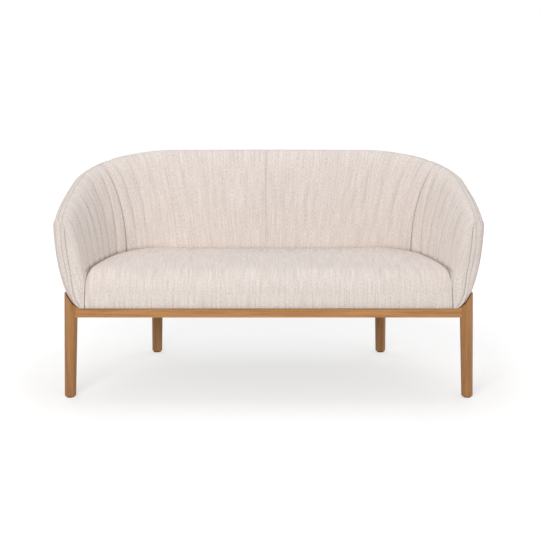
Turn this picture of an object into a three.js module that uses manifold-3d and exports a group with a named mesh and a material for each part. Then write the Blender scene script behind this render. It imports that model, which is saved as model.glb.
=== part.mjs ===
// A high back settee: one padded shell of back and arms round a tight D-shaped seat, on a wooden base.
// Lengths are millimetres, +Z is up and the front faces -Y. The origin is on the floor, under the
// middle of the settee's outer box. Left and right are as seen from the front.
import * as THREE from 'three';
import { mergeVertices } from 'three/addons/utils/BufferGeometryUtils.js';
import Module from 'manifold-3d';

const wasm = await Module();
wasm.setup();

const { PI, abs, cos, floor, hypot, max, min, sin, tan } = Math;
const radians = THREE.MathUtils.degToRad;
const mix = THREE.MathUtils.lerp;
const smooth = (t) => THREE.MathUtils.smoothstep(t, 0, 1);

// Heights above the floor
const overall_height = 820;
const arm_tip_height = 689;
const seat_line_height = 455;     // where the back pads meet the seat
const rail_top_height = 351;

// Plan of the shell's inner face at the seat line
const inner_half_width = 668;     // middle to an arm's inner face, where its front roll starts
const inner_depth = 478;          // front of the arms to the inner face of the back
const corner_radius = 226;
const arm_splay = radians(12.95);
const front_turn = radians(4);    // the arm's outward direction at its front, from straight sideways

// Section of the shell, outward from the inner face at the seat line
const back_reach_width = 165;     // to the outermost line, at the middle of the back
const arm_reach_width = 110;      // the same at the front of an arm
const back_foot_width = 55;       // width of the flat underside at the back
const arm_foot_width = 26;
const roll_width = 72;            // the rounded top edge
const roll_rise_height = 34;
const belly_power = 1.9;          // 2 would make the outer face a quarter of an ellipse
const inner_reach_shares = [0, 0.12, 0.4, 1];   // pull of the inner face's curve, seat line to crest
const inner_rise_shares = [0, 0.4, 1, 1];
const reach_knot_shares = [0, 0.35, 0.5, 0.65, 0.8, 1];
const reach_shares = [1, 0.91, 0.71, 0.545, 0.42, 0];
const drop_knot_shares = [0, 0.4, 0.52, 0.62, 0.72, 0.82, 0.91, 1];
const drop_shares = [0, 0, 0.085, 0.225, 0.41, 0.6, 0.76, 1];
const foot_start_share = 0.25;
const foot_end_share = 0.85;

// Front roll of the arms, and the seam that runs up it and back along the top edge
const front_roll_depth = 30;      // how far the roll stands in front of the section's end
const pad_roll_radius = 28;
const low_roll_radius = 6;        // beside the seat, where arm and seat press together
const seat_line_roll_radius = 12;
const band_roll_radius = 14;
const band_width = 41;            // outer edge to the seam on the arm's front
const band_foot_width = 24;
const band_taper_height = 150;    // height over which the band grows to its full width
const seam_foot_width = 14;
const seam_drop_height = 25;      // the seam comes down this far as it turns onto the front
const seam_angle = radians(75);   // place of the seam round the roll: 90 degrees is the crest
const arm_seam_angle = radians(88);

// Cloth, padding and boards of the shell
const pad_cover_thickness = 12;   // quilted cloth and wadding above the seat
const seat_line_cover_thickness = 7;
const low_cover_thickness = 3;    // plain cloth below it
const outer_cover_thickness = 4;
const channel_depth = 5;
const back_pad_depth = 50;        // inner face to the frame at the seat line
const arm_pad_depth = 30;
const foam_foot_gap = 55.7;       // deck to the lower edge of the inner foam and its liner
const liner_thickness = 3;
const frame_thickness = 15;
const back_frame_foot_depth = 26;   // inner face to the frame, on the deck
const arm_frame_foot_depth = 8;
const deck_thickness = 18;
const deck_setback = 1;           // deck edge inside the shell's underside
const front_setback = 12;         // frame behind the end of the arm's section
const top_rail_height = 60;
const upright_width = 50;
const lap_length = 40;
const tenon_length = 18;
const tenon_share = 0.55;         // tenon against the piece that it is cut on

// Sewn channels
const back_seam_shares = [0, 0.142, 0.257, 0.385, 0.505, 0.62, 0.72, 0.825, 0.915, 1];   // from centre
const arm_channels = 6;
const centre_seam_x = -11;
const panel_seam_shares = [0.583, 0.612];   // seam between back and arm, at the seat and at the top
const last_seam_share = 0.932;
const outside_channel = 8;        // the outer cloth is joined above this channel seam
const columns_per_channel = 3;

// Places along each half of the section, from its lower edge or from its seam, with what changes
// from one to the next. A row from -1 to 0 is below the seat line, the crest row is the top and
// 2 is the seam. On the outer side 0 is the seam, 1 the widest line, 1.5 the seat line and 2 the foot.
const back_channels = back_seam_shares.length - 1;
const crest_row = 1 + PI / 2 / (PI - seam_angle);
const bend_row = (1 + crest_row) / 2;
const inner_rows = [-1, -0.5, 0, 0.5, 1, bend_row, crest_row, 2];
const outer_rows = [2, 1.85, 1.7, 1.5, 1.25, 1, 0.5, 0];
const seam_height_shares = [0, 0.08, 0.22, 0.44, 0.69, 0.87, 0.96, 1];
const channel_depth_shares = [0, 0, 0.7, 1, 0.9, 0.6, 0.3, 0.15];
const outer_roll_shares = [1, 1, 1, 1, 1, 1, 0.5, 0];

// Base
const rail_height = 39;
const rail_thickness = 25;
const side_rail_thickness = 22;
const front_rail_setback = 16;    // front of the arms to the rail's face
const front_leg_outset = 56;      // leg axes at the rails, outside the shell's inner half width
const front_leg_setback = 33;     // front of the arms to the axes of the front legs
const back_leg_inset = 223.5;     // inside the shell's inner half width
const back_leg_outset = 85;       // behind the inner face of the back
const front_leg_splay = radians(2.3);
const back_leg_splay = radians(1.1);
const front_leg_top_diameter = 48;
const back_leg_top_diameter = 45.5;
const leg_foot_taper_width = 5.5;
const foot_edge_radius = 3;
const foot_edge_share = 0.3;      // of the radius, at the middle of the rounded edge
const leg_facets = 40;
const leg_top_rise = 51;          // above the rails, where a leg stands beside the shell
const glide_thickness = 4;
const glide_diameter = 30;
const glide_stem_diameter = 6;
const glide_stem_length = 14;
const rail_tenon_height_share = 0.26;   // against the rail's height
const rail_tenon_thickness = 10;
const rail_tenon_depth = 18;
const rail_tenon_edge = 3;        // rail edge to the nearer side of the tenon
const cross_tenon_depth = 10;
const block_leg_length = 62;
const block_margin = 2;           // block below and above the rails' edges
const bolt_diameter = 8;
const bolt_head_diameter = 14;
const bolt_head_height = 5.5;
const bolt_grip_length = 15;      // how far a bolt runs into its leg
const bolt_facets = 12;
const dust_cover_thickness = 1.2;
const dust_cover_inset = 5;
const dust_corner_inset = 40;

// Seat
const seat_front_setback = 10;    // front of the arms to the seat's front
const seat_front_rise = 28;       // seat line to the top of the seat, near the front
const seat_back_rise = 6;         // the same along the back
const seat_slope_shares = [0.19, 0.9];   // between these shares of the depth the top slopes down
const seat_side_shares = [0.45, 0.7, 0.85, 0.93, 1];   // places along the straight sides
const seat_crown_height = 8;
const crown_shares = [0.3, 0.65]; // rings of the crown, from the edge to the middle
const seat_side_radius = 12;
const seat_front_depth = 95;      // of the rolled front edge, from front to back
const seat_front_drop = 80;       // its height
const seat_front_blend = 60;      // length of the sides over which the roll dies away
const seat_corner_radius = 10;
const seat_cover_thickness = 4;
const deck_front_gap = 4;         // deck edge behind the seat cloth

// Clearances
const fit = 0.3;
const layer_gap = 0.8;            // between curved layers that are cut from the same surface
const seam_gap = 2;               // between panels of cloth at a seam
const pad_seam_gap = 4;           // between the paddings behind a seam
const leg_clearance = 1;
const merge_tolerance = 1e-4;     // points closer than this are one
const row_step_share = 1e-3;

const cloth_colour = 0xe2d6ce;
const wood_colour = 0xb98a5a;
const plain_wood_colour = 0xcdb08a;
const liner_colour = 0x8a6a48;
const foam_colour = 0xe8dfb8;
const steel_colour = 0x9a9a98;
const glide_colour = 0x3a342e;
const dust_cloth_colour = 0x2e2d2c;

// Worked-out places
const overall_depth = inner_depth + back_reach_width;
const front_y = -overall_depth / 2;
const back_y = front_y + inner_depth;
const straight_depth = inner_depth - front_roll_depth;
const tangent_length = corner_radius * tan((PI / 2 - arm_splay) / 2);
const back_run = inner_half_width - straight_depth * tan(arm_splay) - tangent_length;
const corner_run = corner_radius * (PI / 2 - arm_splay);
const arm_run = straight_depth / cos(arm_splay) - tangent_length;
const corner_end = back_run + corner_run;
const half_path = corner_end + arm_run;
const front_leg_x = inner_half_width + front_leg_outset;
const back_leg_x = inner_half_width - back_leg_inset;
const leg_round = front_leg_top_diameter / 2;
const deck_bottom = rail_top_height + fit;
const deck_top = deck_bottom + deck_thickness;
const foam_low = deck_top + foam_foot_gap;
const leg_top = rail_top_height + leg_top_rise;
const rail_bottom = rail_top_height - rail_height;
const full_drop = overall_height - arm_tip_height;

// Value of a table at t, on a smooth curve that keeps between its points
function table(knots, values, t) {
  const last = knots.length - 1;
  const rise = (i) => (values[i + 1] - values[i]) / (knots[i + 1] - knots[i]);
  const slope = (i) => {
    if (i === 0) return 0;
    if (i === last) return rise(last - 1);
    const before = rise(i - 1);
    const after = rise(i);
    return before * after <= 0 ? 0 : 2 * before * after / (before + after);
  };
  const i = knots.findLastIndex((knot, k) => k === 0 || (k < last && t > knot));
  const span = knots[i + 1] - knots[i];
  const s = (t - knots[i]) / span;
  const hermite = new THREE.Vector4(
    (1 + 2 * s) * (1 - s) ** 2, s * (1 - s) ** 2, (3 - 2 * s) * s ** 2, (s - 1) * s ** 2);
  return hermite.dot(new THREE.Vector4(values[i], slope(i) * span, values[i + 1], slope(i + 1) * span));
}

// Point of the inner face's plan at a distance along it from the middle of the back, and the
// direction that leads outward there
function planFrame(along) {
  const side = along < 0 ? -1 : 1;
  const run = abs(along);
  let x = run;
  let y = back_y;
  let angle = PI / 2;
  if (run > back_run) {
    angle = max(arm_splay, PI / 2 - (run - back_run) / corner_radius);
    x = back_run + corner_radius * cos(angle);
    y = back_y - corner_radius + corner_radius * sin(angle);
  }
  const beyond = run - corner_end;
  if (beyond > 0) {
    x += beyond * sin(arm_splay);
    y -= beyond * cos(arm_splay);
    angle = mix(arm_splay, front_turn, smooth(beyond / arm_run));
  }
  return { x: side * x, y, outX: side * cos(angle), outY: sin(angle) };
}

// World point of a place in the shell: distance along the plan, reach outward, height, and how far
// it stands forward of the section
function place(along, reach, height, forward = 0) {
  const at = planFrame(along);
  return new THREE.Vector3(at.x + reach * at.outX, at.y + reach * at.outY - forward, height);
}

// Sizes of the shell's section at a distance along the plan
function sectionSizes(along) {
  const t = min(abs(along) / half_path, 1);
  const toArm = smooth((t - foot_start_share) / (foot_end_share - foot_start_share));
  const reach = mix(arm_reach_width, back_reach_width, table(reach_knot_shares, reach_shares, t));
  const top = overall_height - full_drop * table(drop_knot_shares, drop_shares, t);
  return {
    reach,
    foot: mix(back_foot_width, arm_foot_width, toArm),
    padDepth: mix(back_pad_depth, arm_pad_depth, toArm),
    frameFoot: mix(back_frame_foot_depth, arm_frame_foot_depth, toArm),
    middle: reach - roll_width / 2,
    rollZ: top - roll_rise_height,
    seamAngle: mix(seam_angle, arm_seam_angle, toArm),
  };
}

// Reach of the outer face at a height
function outerReach(size, height) {
  const f = THREE.MathUtils.clamp((size.rollZ - height) / (size.rollZ - deck_bottom), 0, 1);
  return size.foot + (size.reach - size.foot) * (1 - f ** belly_power) ** (1 / belly_power);
}

// Cubic curve pulled by four values
const bend = ([a, b, c, d], t) => a * (1 - t) ** 3 + 3 * t * (1 - t) * (b * (1 - t) + c * t) + d * t ** 3;

// Inner side of the section, from its lower edge to the seam
function innerSide(size, row, low) {
  const knee = max(foam_low, low + layer_gap);
  if (row < -0.5) return [0, mix(knee, low, -2 * row - 1)];
  if (row < 0) return [0, mix(seat_line_height, knee, -2 * row)];
  if (row <= crest_row) {
    const t = row / crest_row;
    const height = mix(seat_line_height, size.rollZ + roll_rise_height, bend(inner_rise_shares, t));
    return [size.middle * bend(inner_reach_shares, t), height];
  }
  const angle = mix(PI / 2, size.seamAngle, (row - crest_row) / (2 - crest_row));
  return [size.middle + roll_width / 2 * cos(angle), size.rollZ + roll_rise_height * sin(angle)];
}

// Outer side of the section, from the seam to the foot
function outerSide(size, row) {
  if (row <= 1) {
    const angle = mix(size.seamAngle, 0, row);
    return [size.middle + roll_width / 2 * cos(angle), size.rollZ + roll_rise_height * sin(angle)];
  }
  const height = row < 1.5
    ? mix(size.rollZ, seat_line_height, 2 * row - 2)
    : mix(seat_line_height, deck_bottom, sin((2 * row - 3) * PI / 2));
  return [outerReach(size, height), height];
}

// Point of either side's outline, drawn in by a depth square to it
function inset(outline, row, depth) {
  const [reach, height] = outline(row);
  const [r0, z0] = outline(max(row - row_step_share, -1));
  const [r1, z1] = outline(min(row + row_step_share, 2));
  const length = hypot(r1 - r0, z1 - z0);
  return [reach + depth * (z1 - z0) / length, height - depth * (r1 - r0) / length];
}

// Where row j ends on the seam that runs up the front of an arm
function frontSeam(size, j, isInner, gap) {
  const seamTop = size.rollZ + roll_rise_height * sin(size.seamAngle) - seam_drop_height;
  const height = mix(deck_bottom, seamTop, seam_height_shares[j]);
  const grown = smooth((height - deck_bottom) / band_taper_height);
  const reach = max(seam_foot_width, outerReach(size, height) - mix(band_foot_width, band_width, grown));
  return [reach + (isInner ? -gap : gap) / 2, height];
}

// Cloth thickness and radius of the front roll at row j
function clothDepth(isInner, j) {
  if (!isInner) return outer_cover_thickness;
  return [low_cover_thickness, low_cover_thickness, seat_line_cover_thickness][j] ?? pad_cover_thickness;
}

function rollRadius(isInner, j) {
  if (!isInner) return mix(pad_roll_radius, band_roll_radius, outer_roll_shares[j]);
  return [low_roll_radius, low_roll_radius, seat_line_roll_radius][j] ?? pad_roll_radius;
}

// Steps round the front of an arm: the end of its section, a quarter turn, then the seam itself.
// The paddings' hidden sides run forward along the seam by the wall shares.
const front_steps = [
  { wall_share: 0 },
  { wall_share: 0.2, turn: 0 },
  { wall_share: 0.4, turn: PI / 6 },
  { wall_share: 0.6, turn: PI / 3 },
  { wall_share: 0.8, turn: PI / 2 },
  { wall_share: 1, turn: PI / 2, atSeam: true },
];

// Share of the height between the seat line and the top at which row j of the inner side stands
const heightShare = (isInner, j) => (
  isInner ? bend(inner_rise_shares, THREE.MathUtils.clamp(inner_rows[j] / crest_row, 0, 1)) : 1);
const alongAt = (column, isInner, j) => column.along(heightShare(isInner, j));

// World point on the shell's surface, or at a depth below it, beside a gap at the seam
function surface(isInner, column, j, depth, gap = seam_gap) {
  const along = alongAt(column, isInner, j);
  const size = sectionSizes(along);
  const clearance = j === inner_rows.length - 1 ? gap / roll_width : 0;
  const row = isInner ? inner_rows[j] - clearance : outer_rows[j] + clearance;
  const outline = (r) => (isInner ? innerSide(size, r, column.low) : outerSide(size, r));
  const [reach, height] = inset(outline, row, depth);
  if (column.turn === undefined) return place(along, reach, height);
  const radius = rollRadius(isInner, j);
  const [seamReach, seamHeight] = frontSeam(size, j, isInner, gap);
  const across = hypot(seamReach - reach, seamHeight - height);
  const share = column.atSeam ? 1 : min(radius - depth, across) * (1 - cos(column.turn)) / across;
  const forward = front_roll_depth - radius + (radius - depth) * sin(column.turn);
  return place(along, mix(reach, seamReach, share), mix(height, seamHeight, share), forward);
}

// Closed solid between two grids of points that face each other. Its back has a column behind
// each face column that anchors names.
function slab(face, back, anchors = face.map((column, i) => i)) {
  const rows = face[0].length;
  const positions = [...face, ...back].flat().flatMap((p) => p.toArray());
  const indices = [];
  const front = (i, j) => i * rows + j;
  const behind = (m, j) => (face.length + m) * rows + j;
  const quad = (a, b, c, d) => indices.push(a, b, c, a, c, d);
  for (let j = 0; j < rows - 1; j++) {
    for (let i = 0; i < face.length - 1; i++) {
      quad(front(i, j), front(i + 1, j), front(i + 1, j + 1), front(i, j + 1));
    }
    for (let m = 0; m < back.length - 1; m++) {
      quad(behind(m, j), behind(m, j + 1), behind(m + 1, j + 1), behind(m + 1, j));
    }
    quad(front(0, j), front(0, j + 1), behind(0, j + 1), behind(0, j));
    const [i, m] = [face.length - 1, back.length - 1];
    quad(front(i, j), behind(m, j), behind(m, j + 1), front(i, j + 1));
  }
  const last = rows - 1;
  for (let m = 0; m < back.length - 1; m++) {
    for (let i = anchors[m]; i < anchors[m + 1]; i++) {
      indices.push(front(i, 0), behind(m, 0), front(i + 1, 0));
      indices.push(front(i, last), front(i + 1, last), behind(m, last));
    }
    const i = anchors[m + 1];
    indices.push(front(i, 0), behind(m, 0), behind(m + 1, 0));
    indices.push(front(i, last), behind(m + 1, last), behind(m, last));
  }
  return outward(fromArrays(positions, indices));
}

function fromArrays(positions, indices) {
  const geometry = new THREE.BufferGeometry();
  geometry.setAttribute('position', new THREE.Float32BufferAttribute(positions, 3));
  geometry.setIndex(indices);
  return geometry;
}

// The same solid with its faces turned outward
function outward(geometry) {
  const p = geometry.attributes.position;
  const index = geometry.index.array;
  const [a, b, c] = [new THREE.Vector3(), new THREE.Vector3(), new THREE.Vector3()];
  let volume = 0;
  for (let i = 0; i < index.length; i += 3) {
    a.fromBufferAttribute(p, index[i]);
    b.fromBufferAttribute(p, index[i + 1]);
    c.fromBufferAttribute(p, index[i + 2]);
    volume += a.dot(b.cross(c));
  }
  if (volume < 0) {
    for (let i = 0; i < index.length; i += 3) [index[i], index[i + 1]] = [index[i + 1], index[i]];
  }
  return geometry;
}

// Joining and cutting
function solidOf(geometry) {
  const bare = geometry.clone();
  bare.deleteAttribute('normal');
  bare.deleteAttribute('uv');
  const merged = mergeVertices(bare, merge_tolerance);
  return new wasm.Manifold(new wasm.Mesh({
    numProp: 3,
    vertProperties: new Float32Array(merged.attributes.position.array),
    triVerts: new Uint32Array(merged.index.array),
  }));
}

function geometryOf(solid) {
  const mesh = solid.getMesh();
  return fromArrays(mesh.vertProperties, Array.from(mesh.triVerts));
}

const join = (first, ...others) => geometryOf(others.reduce((s, g) => s.add(solidOf(g)), solidOf(first)));
const cut = (first, ...others) => geometryOf(others.reduce((s, g) => s.subtract(solidOf(g)), solidOf(first)));

// Box between two corners
function box(x0, x1, y0, y1, z0, z1) {
  return new THREE.BoxGeometry(x1 - x0, y1 - y0, z1 - z0)
    .translate((x0 + x1) / 2, (y0 + y1) / 2, (z0 + z1) / 2);
}

// Upright prism on a plan outline
function prism(points, z0, z1) {
  const shape = new THREE.Shape(points.map((p) => new THREE.Vector2(p.x, p.y)));
  return new THREE.ExtrudeGeometry(shape, { depth: z1 - z0, bevelEnabled: false }).translate(0, 0, z0);
}

const settee = new THREE.Group();

function add(name, geometry, colour, roughness) {
  const material = new THREE.MeshStandardMaterial({ color: colour, roughness, metalness: 0 });
  const mesh = new THREE.Mesh(geometry, material);
  mesh.name = name;
  settee.add(mesh);
}

const sides = [{ name: 'left', sign: -1 }, { name: 'right', sign: 1 }];
const range = (count) => Array.from({ length: count }, (_, i) => i);
const spread = (from, to, steps) => range(steps + 1).map((i) => mix(from, to, i / steps));

// Channel seams: distance along the plan of channel k's seam at a height share. Whole numbers are
// seams, and numbers between them lie inside a channel.
function backSeam(k, heightAt, sign, centre = sign * centre_seam_x) {
  const crest = (corner_radius + back_reach_width - roll_width) / corner_radius;
  const lowEnd = panel_seam_shares[0] * half_path;
  const topEnd = panel_seam_shares[1] * half_path;
  const before = min(floor(k), back_channels - 1);
  const share = mix(back_seam_shares[before], back_seam_shares[before + 1], k - before);
  const low = mix(centre, lowEnd, share);
  const topRun = mix(centre, back_run + (topEnd - back_run) * crest, share);
  const top = topRun > back_run ? back_run + (topRun - back_run) / crest : topRun;
  return sign * mix(low, top, heightAt);
}

function armSeam(k, heightAt, sign) {
  const low = panel_seam_shares[0] * half_path;
  const pitch = (last_seam_share * half_path - low) / arm_channels;
  const first = mix(low, panel_seam_shares[1] * half_path, heightAt);
  return sign * (k >= 1 ? low + k * pitch : mix(first, low + pitch, k));
}

// The shell's frame is made of straight boards, so its plan has corners at these distances
const frame_end = half_path - front_setback;
const cornerAt = (k) => backSeam(k, 1, 1, 0);
const frame_channels = [2, 3.5, 5, 6, 7, 8];
const liner_end = cornerAt(back_channels);
const frame_corners = [
  0, ...frame_channels.map(cornerAt), liner_end,
  ...range(arm_channels).map((k) => armSeam(k + 1, 1, 1)), frame_end];

// The two corners on either side of a distance, and the share of the way between them
function frameSpan(along) {
  const run = abs(along);
  const last = frame_corners.length - 1;
  const i = frame_corners.findLastIndex((corner, k) => k === 0 || (k < last && run > corner));
  const [from, to] = [frame_corners[i], frame_corners[i + 1]];
  const sign = along < 0 ? -1 : 1;
  return { from: sign * from, to: sign * to, share: (run - from) / (to - from) };
}

function frameSizes(along) {
  const { from, to, share } = frameSpan(along);
  const [a, b] = [sectionSizes(from), sectionSizes(to)];
  return Object.fromEntries(Object.keys(a).map((key) => [key, mix(a[key], b[key], share)]));
}

function framePlace(along, reach, height) {
  const { from, to, share } = frameSpan(along);
  return place(from, reach, height).lerp(place(to, reach, height), share);
}

// Reach of the frame's inner face at a height
function frameFace(size, height) {
  if (height < seat_line_height) {
    return mix(size.frameFoot, size.padDepth, max(0, (height - deck_top) / (seat_line_height - deck_top)));
  }
  const rollFace = size.middle - frame_thickness / 2;
  return mix(size.padDepth, rollFace, min(1, (height - seat_line_height) / (size.rollZ - seat_line_height)));
}

// Section of the space round the frame and its liner that the paddings leave free, at row j
function bedSection(isInner, size, j, low) {
  const hollow = frame_thickness / 2 + liner_thickness + 2 * layer_gap;
  const row = (isInner ? inner_rows : outer_rows)[j];
  if (isInner ? row > 1 : row <= 1) {
    const over = max(0, (row - bend_row) / (2 - bend_row));
    const angle = isInner ? mix(PI, size.seamAngle, over) : mix(size.seamAngle, 0, row);
    return [size.middle + hollow * cos(angle), size.rollZ + 2 * layer_gap * sin(angle) + layer_gap];
  }
  const [, height] = isInner ? innerSide(size, row, low) : outerSide(size, row);
  if (isInner) return [frameFace(size, height) - liner_thickness - 2 * layer_gap, height];
  const lifted = max(height, deck_bottom + 2 * outer_cover_thickness);
  const onDeck = height < foam_low ? size.foot - deck_setback : 0;
  return [max(frameFace(size, lifted) + frame_thickness, onDeck) + layer_gap, lifted];
}

// World point of a padding's hidden side. In front of the frame it lies along the seam.
function bed(isInner, column, j) {
  if (column.wall_share === undefined) {
    const along = column.bed ?? alongAt(column, isInner, j);
    return framePlace(along, ...bedSection(isInner, frameSizes(along), j, column.low));
  }
  const along = alongAt(column, isInner, j);
  const cover = isInner ? pad_cover_thickness : outer_cover_thickness;
  const depth = front_roll_depth - cover - layer_gap - low_roll_radius;
  return place(along, ...frontSeam(sectionSizes(along), j, isInner, pad_seam_gap), column.wall_share * depth);
}

// Columns of points along the shell. k counts channels, and seam marks the columns that stand on a
// channel's seam or outside the channels.
const stops = (count, steps) => range(count * steps + 1).map((i) => i / steps);

// Channel number kept clear of the seams at a panel's two ends
function clearOf(k, last, pitch) {
  const clear = seam_gap / 2 / pitch;
  return THREE.MathUtils.clamp(k, clear, last - clear);
}

function backColumns(sign, steps) {
  const pitch = panel_seam_shares[0] * half_path / back_channels;
  return stops(back_channels, steps).map((k) => ({
    k, seam: Number.isInteger(k), low: deck_top + layer_gap,
    along: (h) => backSeam(clearOf(k, back_channels, pitch), h, sign),
  }));
}

function armColumns(sign, steps, low, frontLow) {
  const pitch = (last_seam_share - panel_seam_shares[0]) * half_path / arm_channels;
  const channels = stops(arm_channels, steps).map((k) => ({
    k, seam: Number.isInteger(k), low, along: (h) => armSeam(max(k, seam_gap / 2 / pitch), h, sign) }));
  return [
    ...channels, { seam: true, low, along: () => sign * frame_end },
    ...front_steps.map((step) => ({ ...step, seam: true, low: frontLow, along: () => sign * half_path })),
  ];
}

// How far a quilted panel is drawn in at a column and a row: nothing in the middle of a channel
function quilt(column, j) {
  const across = column.k === undefined ? 0 : (1 - sin(PI * (column.k % 1))) ** 1.5;
  return channel_depth * across * channel_depth_shares[j];
}

// Quilted cloth. Its upper edge runs straight from one channel seam to the next.
function quiltedCloth(columns) {
  const face = columns.map((c) => inner_rows.map((row, j) => surface(true, c, j, quilt(c, j))));
  const anchors = [...columns.keys()].filter((i) => columns[i].seam);
  anchors.slice(1).forEach((end, m) => {
    const start = anchors[m];
    for (let i = start + 1; i < end; i++) {
      face[i].splice(-1, 1, face[start].at(-1).clone().lerp(face[end].at(-1), (i - start) / (end - start)));
    }
  });
  const back = anchors.map((i) => inner_rows.map(
    (row, j) => surface(true, columns[i], j, clothDepth(true, j))));
  return slab(face, back, anchors);
}

function plainCloth(columns) {
  return slab(
    columns.map((c) => outer_rows.map((row, j) => surface(false, c, j, 0))),
    columns.map((c) => outer_rows.map((row, j) => surface(false, c, j, outer_cover_thickness))));
}

function padding(isInner, columns) {
  const rows = isInner ? inner_rows : outer_rows;
  return slab(
    columns.map((c) => rows.map((row, j) => surface(
      isInner, c, j, clothDepth(isInner, j) + layer_gap, pad_seam_gap))),
    columns.map((c) => rows.map((row, j) => bed(isInner, c, j))));
}

function backFoam() {
  const half = (sign) => backColumns(sign, 1).map((c) => ({ ...c, low: foam_low })).slice(1);
  const middle = { low: foam_low, along: () => centre_seam_x };
  return padding(true, [...half(-1).reverse(), middle, ...half(1)]);
}

const armFoam = (sign) => padding(true, armColumns(sign, 1, foam_low, deck_bottom + low_roll_radius));

// Columns of the outer side stand over the channel seams of the inner side
function outerBackColumns() {
  const half = (sign) => frame_channels.map((k) => ({
    along: () => backSeam(k, 1, sign) - sign * (k === outside_channel ? seam_gap / 2 : 0),
    bed: sign * cornerAt(k),
  }));
  return [...half(-1).reverse(), { along: () => 0 }, ...half(1)];
}

function outerArmColumns(sign) {
  const first = {
    along: () => backSeam(outside_channel, 1, sign) + sign * seam_gap / 2,
    bed: sign * cornerAt(outside_channel),
  };
  const [second, ...others] = armColumns(sign, 1);
  return [first, { ...second, along: () => armSeam(0, 1, sign) }, ...others];
}

// A board of the shell's frame between two distances along the plan and two depths behind the
// frame's inner face
function board(alongs, heights, near = 0, far = frame_thickness) {
  const side = (depth) => alongs.map((along) => {
    const size = frameSizes(along);
    return heights(size).map((height) => framePlace(along, frameFace(size, height) + depth, height));
  });
  return slab(side(near), side(far));
}

// Distances from one end of a board to the other, with the frame's corners between them
function boardStops(from, to) {
  const corners = [...frame_corners.slice(1).map((c) => -c).reverse(), ...frame_corners];
  return [from, ...corners.filter((c) => c > from + layer_gap && c < to - layer_gap), to];
}

const middleOf = (i) => (frame_corners[i] + frame_corners[i + 1]) / 2;
const upright_places = [
  { name: 'back_upright_middle', along: 0 },
  ...sides.flatMap(({ name, sign }) => [
    { name: `back_upright_${name}`, along: sign * middleOf(1) },
    { name: `corner_upright_${name}`, along: sign * middleOf(4) },
    { name: `arm_upright_${name}`, along: sign * middleOf(8) },
    { name: `arm_post_${name}`, along: sign * (frame_end - upright_width / 2) },
  ]),
];

// Tenon at the head of an upright, or with a clearance the mortise that takes it
function headTenon(along, grow) {
  const half = upright_width * tenon_share / 2 + grow;
  const depth = frame_thickness * (1 - tenon_share) / 2 - grow;
  const foot = (size) => size.rollZ - top_rail_height;
  const heights = (size) => [foot(size) - tenon_length / 2, foot(size) + tenon_length + grow];
  return board([along - half, along + half], heights, depth, frame_thickness - depth);
}

function footTenon(along, grow) {
  const half = upright_width * tenon_share / 2 + grow;
  const middle = frameSizes(along).frameFoot + frame_thickness / 2;
  const thick = frame_thickness * tenon_share / 2 + grow;
  const corner = (side, depth) => framePlace(along + side * half, middle + depth * thick, 0);
  const outline = [corner(-1, -1), corner(1, -1), corner(1, 1), corner(-1, 1)];
  return prism(outline, deck_top - deck_thickness / 2 - grow, deck_top + deck_thickness / 2);
}

function upright(along) {
  const half = upright_width / 2;
  const heights = (size) => [
    deck_top + fit, seat_line_height, (seat_line_height + size.rollZ) / 2,
    size.rollZ - top_rail_height - fit];
  return join(board([along - half, along + half], heights), headTenon(along, 0), footTenon(along, 0));
}

// Top rail in three lengths, half-lapped behind the corners
const lap_at = cornerAt(outside_channel);
const rail_heights = (size) => [size.rollZ - top_rail_height, size.rollZ];

function topRailBack() {
  const end = lap_at - lap_length / 2;
  const main = board(boardStops(-end, end), rail_heights);
  const laps = sides.map(({ sign }) => board(
    [end - fit, lap_at, end + lap_length - fit].map((a) => sign * a),
    rail_heights, 0, frame_thickness / 2 - fit));
  const mortises = upright_places.filter((u) => abs(u.along) < end).map((u) => headTenon(u.along, fit));
  return cut(join(main, ...laps), ...mortises);
}

function topRailArm(sign) {
  const start = lap_at + lap_length / 2;
  const main = board(boardStops(start, frame_end).map((a) => sign * a), rail_heights);
  const lap = board(
    [start - lap_length + fit, lap_at, start + fit].map((a) => sign * a), rail_heights, frame_thickness / 2);
  const mortises = upright_places.filter((u) => u.along * sign > start).map((u) => headTenon(u.along, fit));
  return cut(join(main, lap), ...mortises);
}

// Thin board on the inner side of the frame
function liner(alongs) {
  const heights = (size) => [
    foam_low + layer_gap, seat_line_height, (seat_line_height + size.rollZ) / 2,
    size.rollZ - layer_gap];
  return board(alongs, heights, -layer_gap - liner_thickness, -layer_gap);
}

// Deck: a plate that runs out under the shell
function deckOutline() {
  const stations = [...frame_corners, corner_end].sort((a, b) => a - b);
  const right = stations.map((along) => framePlace(along, frameSizes(along).foot - deck_setback, 0));
  const frontY = front_y + seat_front_setback + seat_cover_thickness + deck_front_gap;
  const inside = inner_half_width - front_setback;
  const front = [
    new THREE.Vector3(inside, right.at(-1).y, 0), new THREE.Vector3(inside, frontY, 0)];
  const rightSide = [...right, ...front];
  const leftSide = rightSide.slice(1).reverse().map((p) => new THREE.Vector3(-p.x, p.y, 0));
  return [...rightSide, ...leftSide];
}

function deck() {
  const mortises = upright_places.map((u) => footTenon(u.along, fit));
  return cut(prism(deckOutline(), deck_bottom, deck_top), ...mortises);
}

// The shell's outer form over a stretch of its length, grown by the clearance to the legs
function legCutter(alongs, frontForward) {
  const level = [5, 4, 3, 2, 1, 0];
  const columns = alongs.map((along) => ({ along: () => along, forward: 0 }));
  if (frontForward > 0) columns.push({ ...columns.at(-1), forward: frontForward });
  const face = columns.map((c) => level.map((j) => surface(false, c, j, -leg_clearance)));
  columns.forEach((c, i) => face[i].forEach((p) => p.setY(p.y - c.forward)));
  const back = face.map((column, i) => column.map((p) => {
    const at = planFrame(columns[i].along());
    return new THREE.Vector3(p.x - 3 * leg_round * at.outX, p.y - 3 * leg_round * at.outY, p.z);
  }));
  return slab(face, back);
}

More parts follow.
